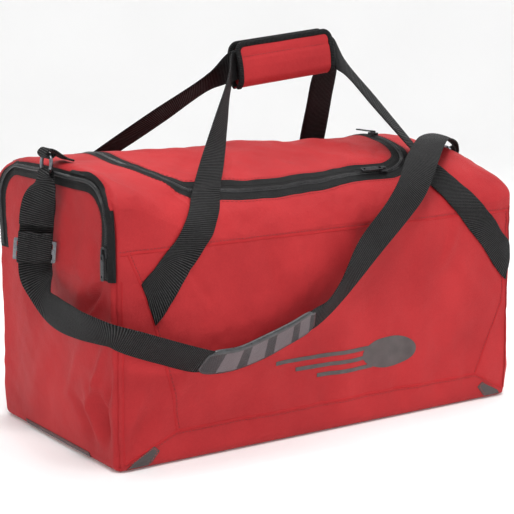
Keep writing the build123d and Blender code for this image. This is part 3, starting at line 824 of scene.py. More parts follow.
def to_skin(places):
    """Places moved onto the CAD skin along the outward direction, mm."""
    out = []
    for p in places:
        q = p * MM
        n = outward(np.array([q]))[0]
        hit = CAD_SKIN.ray_cast(Vector(q + n * 0.03), Vector(-n), 0.08)
        out.append(np.array(hit[0]) / MM if hit[0] is not None else p)
    return np.array(out)


STITCH_LIFT = 0.28
# a stitch: share of its length and thickness at each cut, and the four corners of a cut
DASH_CUTS = ((-0.5, 0.35), (-0.3, 1.0), (0.3, 1.0), (0.5, 0.35))
DASH_CORNERS = ((-0.5, 0.0), (0.0, 0.55), (0.5, 0.0), (0.0, -0.55))


def dash_mesh(dashes, length, thick):
    """Short threads, thin at their ends, from (centre, along, across, up) of each, mm."""
    points = []
    faces = []
    for centre, along, across, up in dashes:
        start = len(points)
        for t, size in DASH_CUTS:
            for a, u in DASH_CORNERS:
                points.append(centre + along * t * length + across * a * thick * size + up * u * thick * size)
        faces += tube_faces(start, 4, 4)
        faces.append((start + 3, start + 2, start + 1, start))
        faces.append((start + 12, start + 13, start + 14, start + 15))
    return np.array(points), faces


def stitch_row(places, pitch=4.4, length=2.9, thick=0.62):
    """Dashes of thread along a line on the skin, bent with the cloth."""
    line = polyline(places, pitch)
    ups = outward(line * MM)
    dashes = []
    for i in range(len(line) - 1):
        tangent = unit(line[i + 1] - line[i])
        across = unit(np.cross(ups[i], tangent))
        dashes.append((line[i] + ups[i] * STITCH_LIFT, tangent, across, ups[i]))
    points, faces = dash_mesh(dashes, length, thick)
    return warp(points * MM), faces


def straight_dashes(centres, along, up, length, thick=0.62):
    """Dashes of thread that all lie the same way, mm."""
    along, up = np.array(along, float), np.array(up, float)
    return dash_mesh([(np.array(c), along, np.cross(up, along), up) for c in centres], length, thick)


def join_meshes(parts):
    points = []
    faces = []
    for p, f in parts:
        faces += [tuple(v + len(points) for v in face) for face in f]
        points += [tuple(q) for q in p]
    return np.array(points), faces


def add_stitches(name, rows, material, body, **options):
    points, faces = join_meshes([stitch_row(row, **options) for row in rows])
    add_piece(name, points, faces, [material], body)


def skin_strip(places, profile):
    """Narrow strip of cloth lying along a line of the skin; profile is (across, lift) pairs."""
    line = np.array(places, float)
    n_all = outward(line * MM)
    points = []
    uvs = []
    run = 0.0
    for i in range(len(line)):
        tangent = unit(line[min(i + 1, len(line) - 1)] - line[max(i - 1, 0)])
        n = n_all[i]
        w = unit(np.cross(n, tangent))
        n = unit(np.cross(tangent, w))
        if i:
            run += np.linalg.norm(line[i] - line[i - 1])
        for a, u in profile:
            points.append(line[i] + w * a + n * u)
            uvs.append((run * MM, a * MM))
    return warp(np.array(points) * MM), grid_faces(len(line), len(profile)), uvs


def quarter(x, y, first, second, count):
    """Quarter circle about (x, y) from one radius to another, without its two ends."""
    turns = [math.pi / 2 * k / count for k in range(1, count)]
    return [(x + first[0] * math.cos(a) + second[0] * math.sin(a),
             y + first[1] * math.cos(a) + second[1] * math.sin(a)) for a in turns]


def u_line(offset, step=3.0, back=ZIP_BACK_Y):
    """The main zip's line moved outward by `offset`, from the left back end round the front."""
    x0, x1 = ZIP_LEFT_X - offset, ZIP_RIGHT_X + offset
    y0, r = ZIP_FRONT_Y - offset, ZIP_CORNER_R + offset
    flat = [(x0, back), (x0, y0 + r)]
    flat += quarter(x0 + r, y0 + r, (-r, 0), (0, -r), 12)
    flat += [(x0 + r, y0), (x1 - r, y0)]
    flat += quarter(x1 - r, y0 + r, (0, -r), (r, 0), 12)
    flat += [(x1, y0 + r), (x1, back)]
    line = polyline([(x, y, 0) for x, y in flat], step)
    return np.array([tuple(drop(p[0], p[1])) for p in line])


def arch_line(offset, step=3.0, bottom=POCKET_BOTTOM_Z):
    """The pocket zip's line moved outward by `offset`, from the front low end over the top."""
    half, top, r = POCKET_HALF_Y + offset, POCKET_TOP_Z + offset, POCKET_CORNER_R + offset
    flat = [(-half, bottom), (-half, top - r)]
    flat += quarter(-half + r, top - r, (-r, 0), (0, r), 10)
    flat += [(-half + r, top), (half - r, top)]
    flat += quarter(half - r, top - r, (0, r), (r, 0), 10)
    flat += [(half, top - r), (half, bottom)]
    return polyline([(-300.0, y, z) for y, z in flat], step)


# ------------------------------------------------------------------ the cloth panels
for cad in PANELS:
    cloth_panel(cad + "_cloth", cad, "bag", RED, LINING, slot="red_fabric")
cloth_panel("lid_cloth", "lid_panel", "lid", RED, LINING, slot="red_fabric")
cloth_panel("lid_tape_cloth", "lid_zip_tape", "lid", TAPE, TAPE, slot="black_tape")
cloth_panel("main_tape_cloth", "main_zip_tape", "bag", TAPE, TAPE, slot="black_tape")
cloth_panel("pocket_flap_cloth", "pocket_flap", "pocket_door", RED, LINING, slot="red_fabric")
cloth_panel("pocket_flap_tape_cloth", "pocket_flap_tape", "pocket_door", TAPE, TAPE, slot="black_tape")
cloth_panel("pocket_tape_cloth", "pocket_zip_tape", "bag", TAPE, TAPE, slot="black_tape")
for cad in ("wear_patch_front_left", "wear_patch_front_right", "wear_patch_back_left",
            "wear_patch_back_right", "wear_strip_left", "wear_strip_right"):
    cloth_panel(cad + "_cloth", cad, "bag", WORN, slot="worn_rubber")
cloth_panel("front_print_film", "front_print", "bag", PRINT, slot="dark_print")


def divider_cloth():
    """The pocket's inner wall: a slack sheet that hangs in shallow folds."""
    points, faces = cad_mesh("pocket_divider")
    for axis in (1, 2):
        faces = slice_axis(points, faces, axis, 0.008)
    p = np.array(points)
    slack = smooth(0.150, 0.105, np.abs(p[:, 1])) * smooth(0.006, 0.05, p[:, 2])
    slack = slack * smooth(0.335, 0.28, p[:, 2])
    p[:, 0] += slack * (0.0042 * np.sin(p[:, 1] / 0.030 + p[:, 2] / 0.09) + 0.003 * SWELL(p))
    add_piece("pocket_divider_cloth", p, faces, [LINING], "bag", "inner_lining", ["pocket_divider"])


divider_cloth()

# ------------------------------------------------------------------ seams and stitching
# (across, lift) round the top of a seam's raised lip, mm
LIP = [(-1.9, -0.5), (-1.5, 0.22), (-0.8, 0.42), (0.3, 0.46), (1.3, 0.34), (1.8, -0.5)]


def seam_lip(name, places):
    points, faces, uvs = skin_strip(to_skin(polyline(places, 3.2)), LIP)
    add_piece(name, points, faces, [SEAM_RED], "bag", "red_fabric", uvs=uvs, smooth_angle=60.0)


def shifted(line, dz, dx=0.0):
    return [(x + dx, y, z + dz) for x, y, z in line]


for key, line in SEAMS.items():
    seam_lip("seam_" + key, line)
stitch_lines = [
    shifted(SEAMS["front_upper"], 3.4), shifted(SEAMS["back_upper"], 3.4),
    shifted(SEAMS["front_band"][1:-1], -3.4), shifted(SEAMS["back_band"][1:-1], -3.4),
    shifted(SEAMS["front_left"], 0, 3.2), shifted(SEAMS["back_left"], 0, 3.2),
    shifted(SEAMS["front_right"], 0, -3.2), shifted(SEAMS["back_right"], 0, -3.2),
]
add_stitches("panel_stitching", [to_skin(polyline(line, 4.4)) for line in stitch_lines], RED_THREAD, "bag")
add_stitches("main_zip_stitching", [u_line(12.6, 4.4)], RED_THREAD, "bag", length=3.0)
add_stitches("main_tape_stitching", [u_line(9.2, 3.6)], BLACK_THREAD, "bag", length=2.4, pitch=3.6)
add_stitches("lid_stitching", [u_line(-15.6, 4.4, 106.0)], RED_THREAD, "lid", length=3.0)
add_stitches("lid_tape_stitching", [u_line(-12.4, 3.6, 106.0)], BLACK_THREAD, "lid", length=2.4, pitch=3.6)
add_stitches("pocket_stitching", [arch_line(8.3, 4.4)], RED_THREAD, "bag", length=3.0)
add_stitches("pocket_flap_stitching", [arch_line(-14.0, 4.4, 229.0)], RED_THREAD, "pocket_door", length=3.0)

LEFT_WEAR = [(-284.0, 4.4), (-279.6, 10.4), (-252.0, 23.4), (-246.6, 18.8), (-260.0, 4.0)]


def wear_stitches():
    rows = []
    for side in (-150.0, 150.0):
        for sign in (1, -1):
            rows.append([(sign * x, side + math.copysign(0.9, side), z) for x, z in LEFT_WEAR])
    for sign in (-1, 1):
        rows.append([(sign * 300.9, y, 7.6) for y in (-82.0, 82.0)])
    add_stitches("wear_patch_stitching", rows, BRIGHT_THREAD, "bag", pitch=3.6, length=2.3, thick=0.5)


wear_stitches()


# ------------------------------------------------------------------ zip teeth
# a tooth: distance out, size and rise at each cut, and the corners of a cut
TOOTH_CUTS = ((-0.55, 0.52, 0.15), (0.2, 0.95, 0.55), (1.1, 0.80, 0.50), (2.3, 0.62, -0.1))
TOOTH_CORNERS = ((-0.5, -0.7), (-0.5, 0.35), (-0.22, 0.7), (0.22, 0.7), (0.5, 0.35), (0.5, -0.7))
TOOTH_PITCH = 2.0
TOOTH_LIFT = 0.75
RIDGE_Y = 2.2


def coil(name, line, body, cad):
    """Two rows of hooked teeth that mesh along a line of the skin."""
    places = polyline(line, TOOTH_PITCH / 2)
    n_all = outward(places * MM)
    points = []
    faces = []
    for i in range(len(places) - 1):
        tangent = unit(places[i + 1] - places[i])
        n = n_all[i]
        w = unit(np.cross(n, tangent)) * (1 if i % 2 else -1)
        start = len(points)
        for out, size, rise in TOOTH_CUTS:
            for a, u in TOOTH_CORNERS:
                side = tangent * a * size * TOOTH_PITCH * 0.62
                points.append(places[i] + w * out + side + n * (TOOTH_LIFT + rise + u * size))
        faces += tube_faces(start, 4, 6)
        faces.append(tuple(start + j for j in range(6)))
        faces.append(tuple(start + 18 + j for j in range(6)))
    parts = [(warp(np.array(points) * MM), faces)]
    for side in (-1, 1):
        mid = side * RIDGE_Y
        profile = [(mid - 0.75, -0.2), (mid - 0.6, 0.7), (mid, 1.25), (mid + 0.6, 0.7), (mid + 0.75, -0.2)]
        parts.append(skin_strip(line, profile)[:2])
    points, faces = join_meshes(parts)
    add_piece(name, points, faces, [COIL], body, "zip_teeth", [cad], smooth_angle=30.0)


coil("main_zip_coil", u_line(0.0, 2.4), "bag", "main_zip_teeth")
coil("pocket_zip_coil", arch_line(0.0, 2.4, POCKET_BOTTOM_Z + 3), "bag", "pocket_zip_teeth")


def pocket_corner_tape(name, offset, half, y_end, z_end):
    """Outer edge of the pocket's wide tape, which wraps round the bag's front left corner."""
    line = [p for p in arch_line(offset, 3.0) if p[1] < y_end and p[2] < z_end]
    profile = [(-half - 0.2, -0.3), (-half, 0.9), (0.0, 1.1), (half, 0.9), (half + 0.2, -0.3)]
    points, faces, uvs = skin_strip(line, profile)
    add_piece(name, points, faces, [TAPE], "bag", "black_tape", uvs=uvs, smooth_angle=60.0)


pocket_corner_tape("pocket_corner_tape_low", 10.5, 5.0, -100, 304)
pocket_corner_tape("pocket_corner_tape_arch", 8.4, 2.8, -50, 400)

# ------------------------------------------------------------------ fabric hinges
HINGE_Y0, HINGE_Y1 = 103.0, 127.0
LID_HINGE_Y = 115.0


def beside_gap(y):
    """y moved off the open gap at the lid's hinge, onto the cloth at its side."""
    if abs(y - LID_HINGE_Y) > 1.5:
        return y
    return 113.4 if y < LID_HINGE_Y else 116.2


def lid_hinge():
    """Strip of cloth over the lid's hinge."""
    xs = np.arange(-188.0, 166.0, 4.0)
    ys = np.linspace(HINGE_Y0, HINGE_Y1, 13)
    base = lifted([tuple(drop(x, beside_gap(y))) for x in xs for y in ys], 0.55)
    across = np.tile(ys, len(xs))
    base[:, 1] = across
    edge = np.minimum(across - HINGE_Y0, HINGE_Y1 - across)
    sink = np.clip(edge / 3.0, 0, 1) * 0.35 - 0.35
    base = (base * MM + outward(base * MM) * sink[:, None] * MM) / MM
    faces = [(a, d, c, b) for a, b, c, d in grid_faces(len(xs), len(ys))]
    obj = make_object("lid_hinge_strip", warp(base * MM), faces, [RED])
    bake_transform(obj)


lid_hinge()


def pocket_hinge():
    """Fold of cloth along the pocket's lower edge."""
    ys = np.arange(-121.0, 122.0, 4.0)
    zs = np.linspace(POCKET_BOTTOM_Z - 7, POCKET_BOTTOM_Z + 7, 8)
    points = []
    for y in ys:
        for k, z in enumerate(zs):
            edge = min(k, len(zs) - 1 - k)
            points.append((-300.0 - (0.45 if edge else 0.05), y, z))
    faces = grid_faces(len(ys), len(zs))
    obj = make_object("pocket_hinge_strip", warp(np.array(points) * MM), faces, [RED])
    z = POCKET_BOTTOM_Z * MM
    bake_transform(obj)


pocket_hinge()

# ------------------------------------------------------------------ shoulder strap, rings and adjuster
LOOP_W = 24.0
HANG_TURN = 55


def turned(degrees):
    """Width direction of the hanging strap, and the way it faces, at one turn about the vertical."""
    rad = math.radians(degrees)
    return np.array([math.sin(rad), -math.cos(rad), 0.0]), np.array([-math.cos(rad), -math.sin(rad), 0.0])


# height, middle of the inner ply, turn in degrees, inner width, outer width, gap between the plies' middles
HANGING = [
    (270.0, -322.8, -7.4, 55, 40, 40, 5.0),
    (282.0, -322.6, -9.5, 55, 40, 40, 5.4),
    (294.0, -320.2, -11.0, 48, 40, 40, 6.2),
    (305.0, -316.0, -12.5, 36, 36, 40, 6.8),
    (316.0, -310.4, -13.5, 18, 28, 39, 7.2),
    (325.5, -307.8, -14.0, 0, 22, 34, 7.5),
]
LEFT_RUN = []
for z, x, y, turn, _, width, gap in HANGING:
    across, face = turned(turn)
    LEFT_RUN.append(((x + face[0] * gap, y + face[1] * gap, z), across, width))
LEFT_RUN += [
    ((-315.6, -14, 332.0), (0, -1, 0), 28),
    ((-311.5, -14, 335.8), (0, -1, 0), 25),
    ((-307.8, -14, 331.5), (0, -1, 0), 22),
]
for z, x, y, turn, width, _, gap in HANGING[::-1]:
    LEFT_RUN.append(((x, y, z), turned(turn)[0], width))
hang_across, hang_face = turned(HANG_TURN)
LEFT_RUN += [
    ((-323.0, -2.5, 240.0), hang_across, WEB_WIDTH),
    ((-323.0, -2.0, 212.0), hang_across, WEB_WIDTH),
    ((-322.0, -11, 193.0), (0.35, -0.80, 0.48), WEB_WIDTH),
    ((-322.5, -29, 178.0), (0, -0.5, 0.85), WEB_WIDTH),
    ((-324.0, -62, 173), (0, -0.1, 1), WEB_WIDTH),
    ((-327.5, -105, 173), (-0.15, 0, 1), WEB_WIDTH),
    ((-326.0, -140, 172), (-0.35, -0.2, 1), WEB_WIDTH),
    ((-311.0, -165, 166), (-0.3, -0.6, 0.9), WEB_WIDTH),
    ((-280.0, -172, 153), (0.1, -0.65, 0.8), WEB_WIDTH),
    ((-244.0, -172, 139), (0.1, -0.65, 0.8), WEB_WIDTH),
    ((-200.0, -171, 123), (0.05, -0.65, 0.8), WEB_WIDTH),
    ((-186.0, -171, 120.4), (0, -0.65, 0.8), 36),
]
RIGHT_RUN = [
    ((-54.0, -173, 148), (0.35, 0.55, -0.75), 36),
    ((-40.0, -173, 153.5), (0.35, 0.55, -0.75), WEB_WIDTH),
    ((-22.0, -174, 163), (0.45, 0.6, -0.6), WEB_WIDTH),
    ((2.0, -173, 184), (0.55, 0.5, -0.6), WEB_WIDTH),
    ((43.0, -168, 228), (0.72, 0.1, -0.66), WEB_WIDTH),
    ((89.0, -166, 270), (0.74, -0.05, -0.64), WEB_WIDTH),
    ((116.0, -161, 296), (0.74, -0.3, -0.5), WEB_WIDTH),
    ((150.0, -139.5, 326), (0.72, -0.65, -0.2), WEB_WIDTH),
    ((191.0, -106.5, 343.2), (0.7, -0.7, 0), WEB_WIDTH),
    ((233.0, -70, 344.4), (0.7, -0.7, -0.08), WEB_WIDTH),
    ((266.0, -50, 339.5), (0.55, -0.75, -0.3), 38),
    ((288.5, -38, 330), (0.2, -0.75, -0.6), 32),
    ((302.5, -30.0, 322.4), (0, -0.5, -0.87), LOOP_W),
    ((308.6, -24.0, 315.6), (0, -0.5, -0.87), LOOP_W),
    ((309.6, -18.6, 312.4), (0, -0.5, -0.87), LOOP_W),
    ((306.0, -15.6, 310.8), (0, -0.5, -0.87), LOOP_W),
    ((302.8, -18.8, 312.6), (0, -0.5, -0.87), LOOP_W),
]
add_strap("shoulder_strap_left_web", LEFT_RUN, "strap", "shoulder_strap_left")
add_strap("shoulder_strap_right_web", RIGHT_RUN, "strap", "shoulder_strap_right")
ADJ_CENTRE = np.array([-326.3, -7.25, 240.0])
ADJ_UP = unit(np.array([0.022, -0.157, 0.987]))
# the strap's loose end on the adjuster: height along it and distance off its middle plane
STUB_LINE = [(-14.6, -0.8), (-13.4, 2.2), (-9.0, 3.3), (0.0, 3.4), (11.0, 3.2), (17.0, 2.8), (22.0, 2.8)]
STUB = [(ADJ_CENTRE + hang_face * out + ADJ_UP * up, hang_across, WEB_WIDTH) for up, out in STUB_LINE]
add_strap("strap_stub_web", STUB, "adjuster", "strap_stub")
hem = []
for up in (17.2, 19.6):
    for k in range(10):
        hem.append(ADJ_CENTRE + hang_face * 4.1 + ADJ_UP * up + hang_across * (-17.5 + 35 * k / 9))
points, faces = straight_dashes(hem, hang_across, hang_face, 2.9)
add_piece("strap_hem_stitching", points * MM, faces, [BLACK_THREAD], "adjuster")
LEFT_TAB = [
    ((-281.5, -14, 344.3), (0, 1, 0), 26),
    ((-288.0, -14, 346.3), (0, 1, 0), 25),
    ((-297.0, -14, 351.6), (0, 1, 0), 25),
    ((-305.0, -14, 357.0), (0, 1, 0), 25),
    ((-311.8, -14, 358.8), (0, 1, 0), 25),
    ((-316.4, -14, 354.0), (0, 1, 0), 25),
    ((-311.8, -14, 348.8), (0, 1, 0), 23),
    ((-303.0, -14, 352.0), (0, 1, 0), 20),
]
RIGHT_TAB = [
    ((301.5, -4, 236.5), (0, 1, 0), WEB_WIDTH),
    ((301.5, -4, 262), (0, 1, 0), WEB_WIDTH),
    ((302.0, -4, 272), (0, 1, 0), 30),
    ((302.4, -4, 281), (0, 1, 0), 18),
    ((302.9, -4, 287), (0, 1, 0), 18),
    ((306.0, -4, 291.4), (0, 1, 0), 18),
    ((309.2, -4, 287), (0, 1, 0), 18),
    ((309.0, -4, 279), (0, 1, 0), 18),
    ((305.6, -4, 272.5), (0, 1, 0), 18),
]
add_strap("strap_tab_left_web", LEFT_TAB, "bag", "strap_tab_left")
add_strap("strap_tab_right_web", RIGHT_TAB, "bag", "strap_tab_right")

PAD_FRAMES = [
    ((-198.0, -171, 121.8), (-0.05, 0.65, -0.8), 26),
    ((-190.0, -171, 120.2), (0, 0.65, -0.8), 40),
    ((-155.0, -171, 119), (0.1, 0.65, -0.8), 45),
    ((-115.0, -171, 127), (0.25, 0.6, -0.8), 46),
    ((-77.0, -172, 139), (0.3, 0.6, -0.75), 45),
    ((-50.0, -173, 149.4), (0.35, 0.55, -0.75), 40),
    ((-41.0, -173, 153), (0.35, 0.55, -0.75), 26),
]


def shoulder_pad():
    """Padded sleeve round the strap: raised vinyl rim, sunk cloth centre and plain grey bars."""
    centres, acrosses, widths = frame_curve(PAD_FRAMES, 12)
    count = len(centres)
    steps = 22

    def section(i, width):
        half = width / 2
        t = i / (count - 1)
        full = math.sin(math.pi * min(max(t, 0.02), 0.98)) ** 0.25
        ring = []
        for k in range(steps):
            a = 2 * math.pi * k / steps
            ca, sa = math.cos(a), math.sin(a)
            out = half * math.copysign(abs(ca) ** 0.55, ca)
            up = 3.1 * full * math.copysign(abs(sa) ** 0.55, sa)
            share = abs(out) / half
            rim = math.exp(-((share - 0.86) / 0.13) ** 2) * 0.9 * full
            ring.append((out, up + math.copysign(rim, sa)))
        return ring

    points, faces, uvs = sweep(centres, acrosses, widths, section)
    slots = []
    for f in faces:
        if len(f) != 4:
            slots.append(1)
            continue
        i, j = divmod(min(f), steps)
        share = abs(math.cos(2 * math.pi * ((j + 0.5) % steps) / steps)) ** 0.55
        t = i / (count - 1)
        bar = any(abs(t - c) < 0.052 for c in (0.30, 0.46, 0.62, 0.78))
        slots.append(1 if share > 0.74 or t < 0.05 or t > 0.95 else (2 if bar else 0))
    obj = add_piece("shoulder_pad_soft", points * MM, faces, [PAD_BASE, PAD_RIM, PAD_GREY], "strap",
                    "grey_pad", ["shoulder_pad"], face_slots=slots, uvs=uvs, smooth_angle=60.0)
    level = obj.modifiers.new("soft", "SUBSURF")
    level.levels = 1
    level.render_levels = 1


shoulder_pad()

# ------------------------------------------------------------------ carry handles
GRIP_X0, GRIP_X1 = -45.0, 105.0
GRIP_MID_X = (GRIP_X0 + GRIP_X1) / 2
GRIP_Y = -2.0
GRIP_MID_Z = 456.0
GRIP_TILT = math.radians(6.0)
GRIP_DROP = 3.0
GRIP_WEB = 38


def tilted(points):
    """Grip points turned so that its right end rides a little higher, mm."""
    p = np.array(points, float)
    along = p[..., 0] - GRIP_MID_X
    high = p[..., 2] - GRIP_MID_Z
    out = p.copy()
    out[..., 0] = GRIP_MID_X + along * math.cos(GRIP_TILT) - high * math.sin(GRIP_TILT)
    out[..., 2] = GRIP_MID_Z - GRIP_DROP + along * math.sin(GRIP_TILT) + high * math.cos(GRIP_TILT)
    return out


FOLD_W = 48.0
FRONT_FOLD_SHIFT = 11.0
# width directions that the free legs turn towards
TWIST = np.array([0.56, 0.83, 0.0])
FACING = np.array([0.83, -0.56, 0.0])
# corners of each sewn end on the wall (x, z): top left, top right, low right, low left
FRONT_PATCHES = (
    [(-227, 254), (-178, 254), (-248, 167), (-265, 216)],
    [(203, 254), (252, 254), (294, 204), (287, 160)],
)
BACK_PATCHES = (
    [(-244, 254), (-196, 254), (-262, 167), (-279, 216)],
    [(162, 254), (211, 254), (262, 204), (255, 160)],
)


def surface_frame(x, angle, lift, width):
    """Frame of webbing lying across the rounded top of the bag."""
    centre = on_skin(x, angle, lift)
    left = on_skin(x - 20, angle, lift)
    right = on_skin(x + 20, angle, lift)
    middle = (left + right) * 0.5
    if middle.z > centre.z:
        centre = middle
    return centre, right - left, width


LEG_STEPS = 8


def leg(name, patch, fold, fold_across, y_skin, side, angles, up_frames, cads):
    """One handle leg: sewn patch, webbing laid over the top, the fold, and the free rise to the grip."""
    top_left, top_right, low_right, low_left = patch
    y_mid = y_skin + side * 1.25
    frames = []
    for t in (0.0, 0.5, 0.96):
        left = [low_left[k] + (top_left[k] - low_left[k]) * t for k in (0, 1)]
        right = [low_right[k] + (top_right[k] - low_right[k]) * t for k in (0, 1)]
        across = (right[0] - left[0], 0, right[1] - left[1])
        centre = ((left[0] + right[0]) / 2, y_mid, (left[1] + right[1]) / 2)
        frames.append((centre, across, math.hypot(across[0], across[2])))
    kink_x = (top_left[0] + top_right[0]) / 2
    for k, angle in enumerate(angles):
        t = (k + 1) / (len(angles) + 1)
        frames.append(surface_frame(kink_x + (fold[0] - kink_x) * t, angle, 2.0, FOLD_W - 7 * t))
    frames.append((fold, fold_across, FOLD_W - 8))
    below = len(frames)
    frames += up_frames
    points, faces, uvs = sweep(*frame_curve(frames, LEG_STEPS), web_section, False)
    flat = points * MM
    ring = len(points) // ((len(frames) - 1) * LEG_STEPS + 1)
    row = np.arange(len(points)) // ring
    lying = smooth((below - 1) * LEG_STEPS + 3, (below - 1) * LEG_STEPS - 3, row)
    moved = warp(flat, False)
    flat = flat + (moved - flat) * lying[:, None]
    obj = make_object(name, flat, faces, [WEB], None, uvs, 50.0)
    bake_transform(obj)
    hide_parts(*cads)


def handle(tag, patches, folds, right_across, y_skin, side, angle_sets):
    """Two legs of one carry handle, which meet in the middle of the grip."""
    folds = [np.array(f, float) for f in folds]
    axis = unit(folds[1] - folds[0])
    if tag == "front_handle":
        folds[0] = folds[0] + axis * FRONT_FOLD_SHIFT
    right_across = unit(np.array(right_across, float))
    down = np.array([0.0, 0.0, -1.0])

    def in_grip(x):
        return tilted((x, GRIP_Y + side * 1.75, GRIP_MID_Z - 1.0))

    up_left = in_grip(GRIP_X0 - 1) - folds[0]
    up_right = in_grip(GRIP_X1 + 1) - folds[1]
    left_up = [
        (folds[0] + up_left * 0.10, axis, FOLD_W - 9),
        (folds[0] + up_left * 0.5, axis * 0.5 + TWIST * 0.5 + down * 0.35, 37),
        (folds[0] + up_left * 0.86, TWIST * 0.75 + down * 0.65, 36),
    ]
    left_up += [(in_grip(x), down, GRIP_WEB) for x in (GRIP_X0 - 1, GRIP_X0 + 30, GRIP_MID_X - 0.5)]
    turn = TWIST if side < 0 else FACING
    right_up = [
        (folds[1] + up_right * 0.10, right_across, FOLD_W - 6),
        (folds[1] + up_right * 0.5, right_across * 0.55 + turn * 0.5 + down * -0.3, 38),
        (folds[1] + up_right * 0.84, turn * 0.85 + down * -0.5, 37),
    ]
    right_up += [(in_grip(x), -down, GRIP_WEB) for x in (GRIP_X1 + 1, GRIP_X1 - 30, GRIP_MID_X + 0.5)]
    leg(tag + "_leg_left", patches[0], folds[0], axis, y_skin, side, angle_sets[0], left_up,
        [tag + "_anchor_left"])
    leg(tag + "_leg_right", patches[1], folds[1], right_across, y_skin, side, angle_sets[1], right_up,
        [tag + "_anchor_right", tag + "_webbing"])


FRONT_FOLDS = [np.array(JOINTS["front_handle_drop"]["pos_m"]) / MM, np.array([181.5, -93.5, 329.6])]
BACK_FOLD_RIGHT = np.array(JOINTS["back_handle_drop"]["pos_m"]) / MM
BACK_FOLD_LEFT = np.array(tuple(on_skin(-190, 44.0, 5.8)))
FRONT_ANGLES = ((157, 152, 147, 141.5), (157, 152, 147, 141))
BACK_ANGLES = ((23, 28, 33, 38.5), (23, 28, 33, 38.5))
handle("front_handle", FRONT_PATCHES, FRONT_FOLDS, (0.73, 0.68, 0), -150, -1, FRONT_ANGLES)
handle("back_handle", BACK_PATCHES, [BACK_FOLD_LEFT, BACK_FOLD_RIGHT], (1, 0, 0), 150, 1, BACK_ANGLES)

# ------------------------------------------------------------------ padded grip wrap
# height, and distance of one leaf from the grip's middle plane
LEAF = [(427.0, 1.0), (430.0, 5.6), (436.0, 9.0), (452.0, 10.0), (464.0, 8.6), (474.0, 6.0), (481.5, 4.8)]
CORNER = 13.0
GRIP_TOP_Z = 484.0
STITCH_Z = 466.0
STITCH_PITCH = 4.2


def leaf_out(z):
    """Distance of one leaf from the grip's middle plane at a height."""
    return float(np.interp(z, [p[0] for p in LEAF], [p[1] for p in LEAF]))


def corner_inset(z):
    """How far the ends are drawn in near the rounded top corners."""
    d = GRIP_TOP_Z - z
    if d >= CORNER:
        return 0.0
    return CORNER - math.sqrt(max(CORNER ** 2 - (CORNER - d) ** 2, 0.0))


def grip_follow(obj, body):
    """The front leaf rides its handle; the back leaf keeps its place."""
    if body == "front_handle":
        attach(obj, body)
    else:
        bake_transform(obj)


def grip_leaf(tag, side, body):
    """Padded leaf: quilted cloth that swells between the stitch line and the bound edges."""
    rows, cols = 22, 50
    z_low, z_high = 427.0, 483.0
    points = []
    for layer in (0, 1):
        for i in range(rows + 1):
            z = z_low + (z_high - z_low) * i / rows
            inset = corner_inset(z) + 1.5
            x0, x1 = GRIP_X0 + inset, GRIP_X1 - inset
            for j in range(cols + 1):
                x = x0 + (x1 - x0) * j / cols
                edge = min(x - x0, x1 - x, (z_high - z) * 1.2, (z - z_low + 1.0) * 1.2) / 9.0
                puff = 1 - math.exp(-max(edge, 0.0) * 1.6)
                seam = math.exp(-((z - STITCH_Z) / 2.0) ** 2)
                wave = 0.35 * math.sin(x / 9.0 + z / 14.0) + 0.25 * math.sin(x / 17.0 - z / 8.0)
                out = leaf_out(z)
                if layer == 0:
                    out += 1.4 + puff * (2.6 + 0.5 * wave) - seam * 1.3
                else:
                    out += 0.2
                points.append((x, GRIP_Y + side * out, z))
    size = (rows + 1) * (cols + 1)
    faces = []
    for layer in (0, 1):
        for i in range(rows):
            for j in range(cols):
                a = layer * size + i * (cols + 1) + j
                quad = (a, a + 1, a + cols + 2, a + cols + 1)
                faces.append(quad if (layer == 0) == (side < 0) else quad[::-1])
    rim = [i * (cols + 1) for i in range(rows + 1)]
    rim += [rows * (cols + 1) + j for j in range(1, cols + 1)]
    rim += [i * (cols + 1) + cols for i in range(rows - 1, -1, -1)]
    rim += list(range(cols - 1, 0, -1))
    for a, b in zip(rim, rim[1:] + rim[:1]):
        quad = (a, b, b + size, a + size)
        faces.append(quad if side < 0 else quad[::-1])
    obj = make_object("grip_leaf_" + tag + "_soft", tilted(points) * MM, faces, [RED], None, None, 60.0)
    grip_follow(obj, body)
    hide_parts("grip_leaf_" + tag)
    y = GRIP_Y + side * (leaf_out(STITCH_Z) + 1.4 + 1.3 + 0.35)
    count = int((GRIP_X1 - GRIP_X0 - 22) / STITCH_PITCH)
    dashes = [(GRIP_X0 + 11 + k * STITCH_PITCH, y, STITCH_Z) for k in range(count)]
    points, faces = straight_dashes(dashes, (1, 0, 0), (0, side, 0), 2.8)
    add_piece("grip_stitching_" + tag, tilted(points) * MM, faces, [RED_THREAD], body)


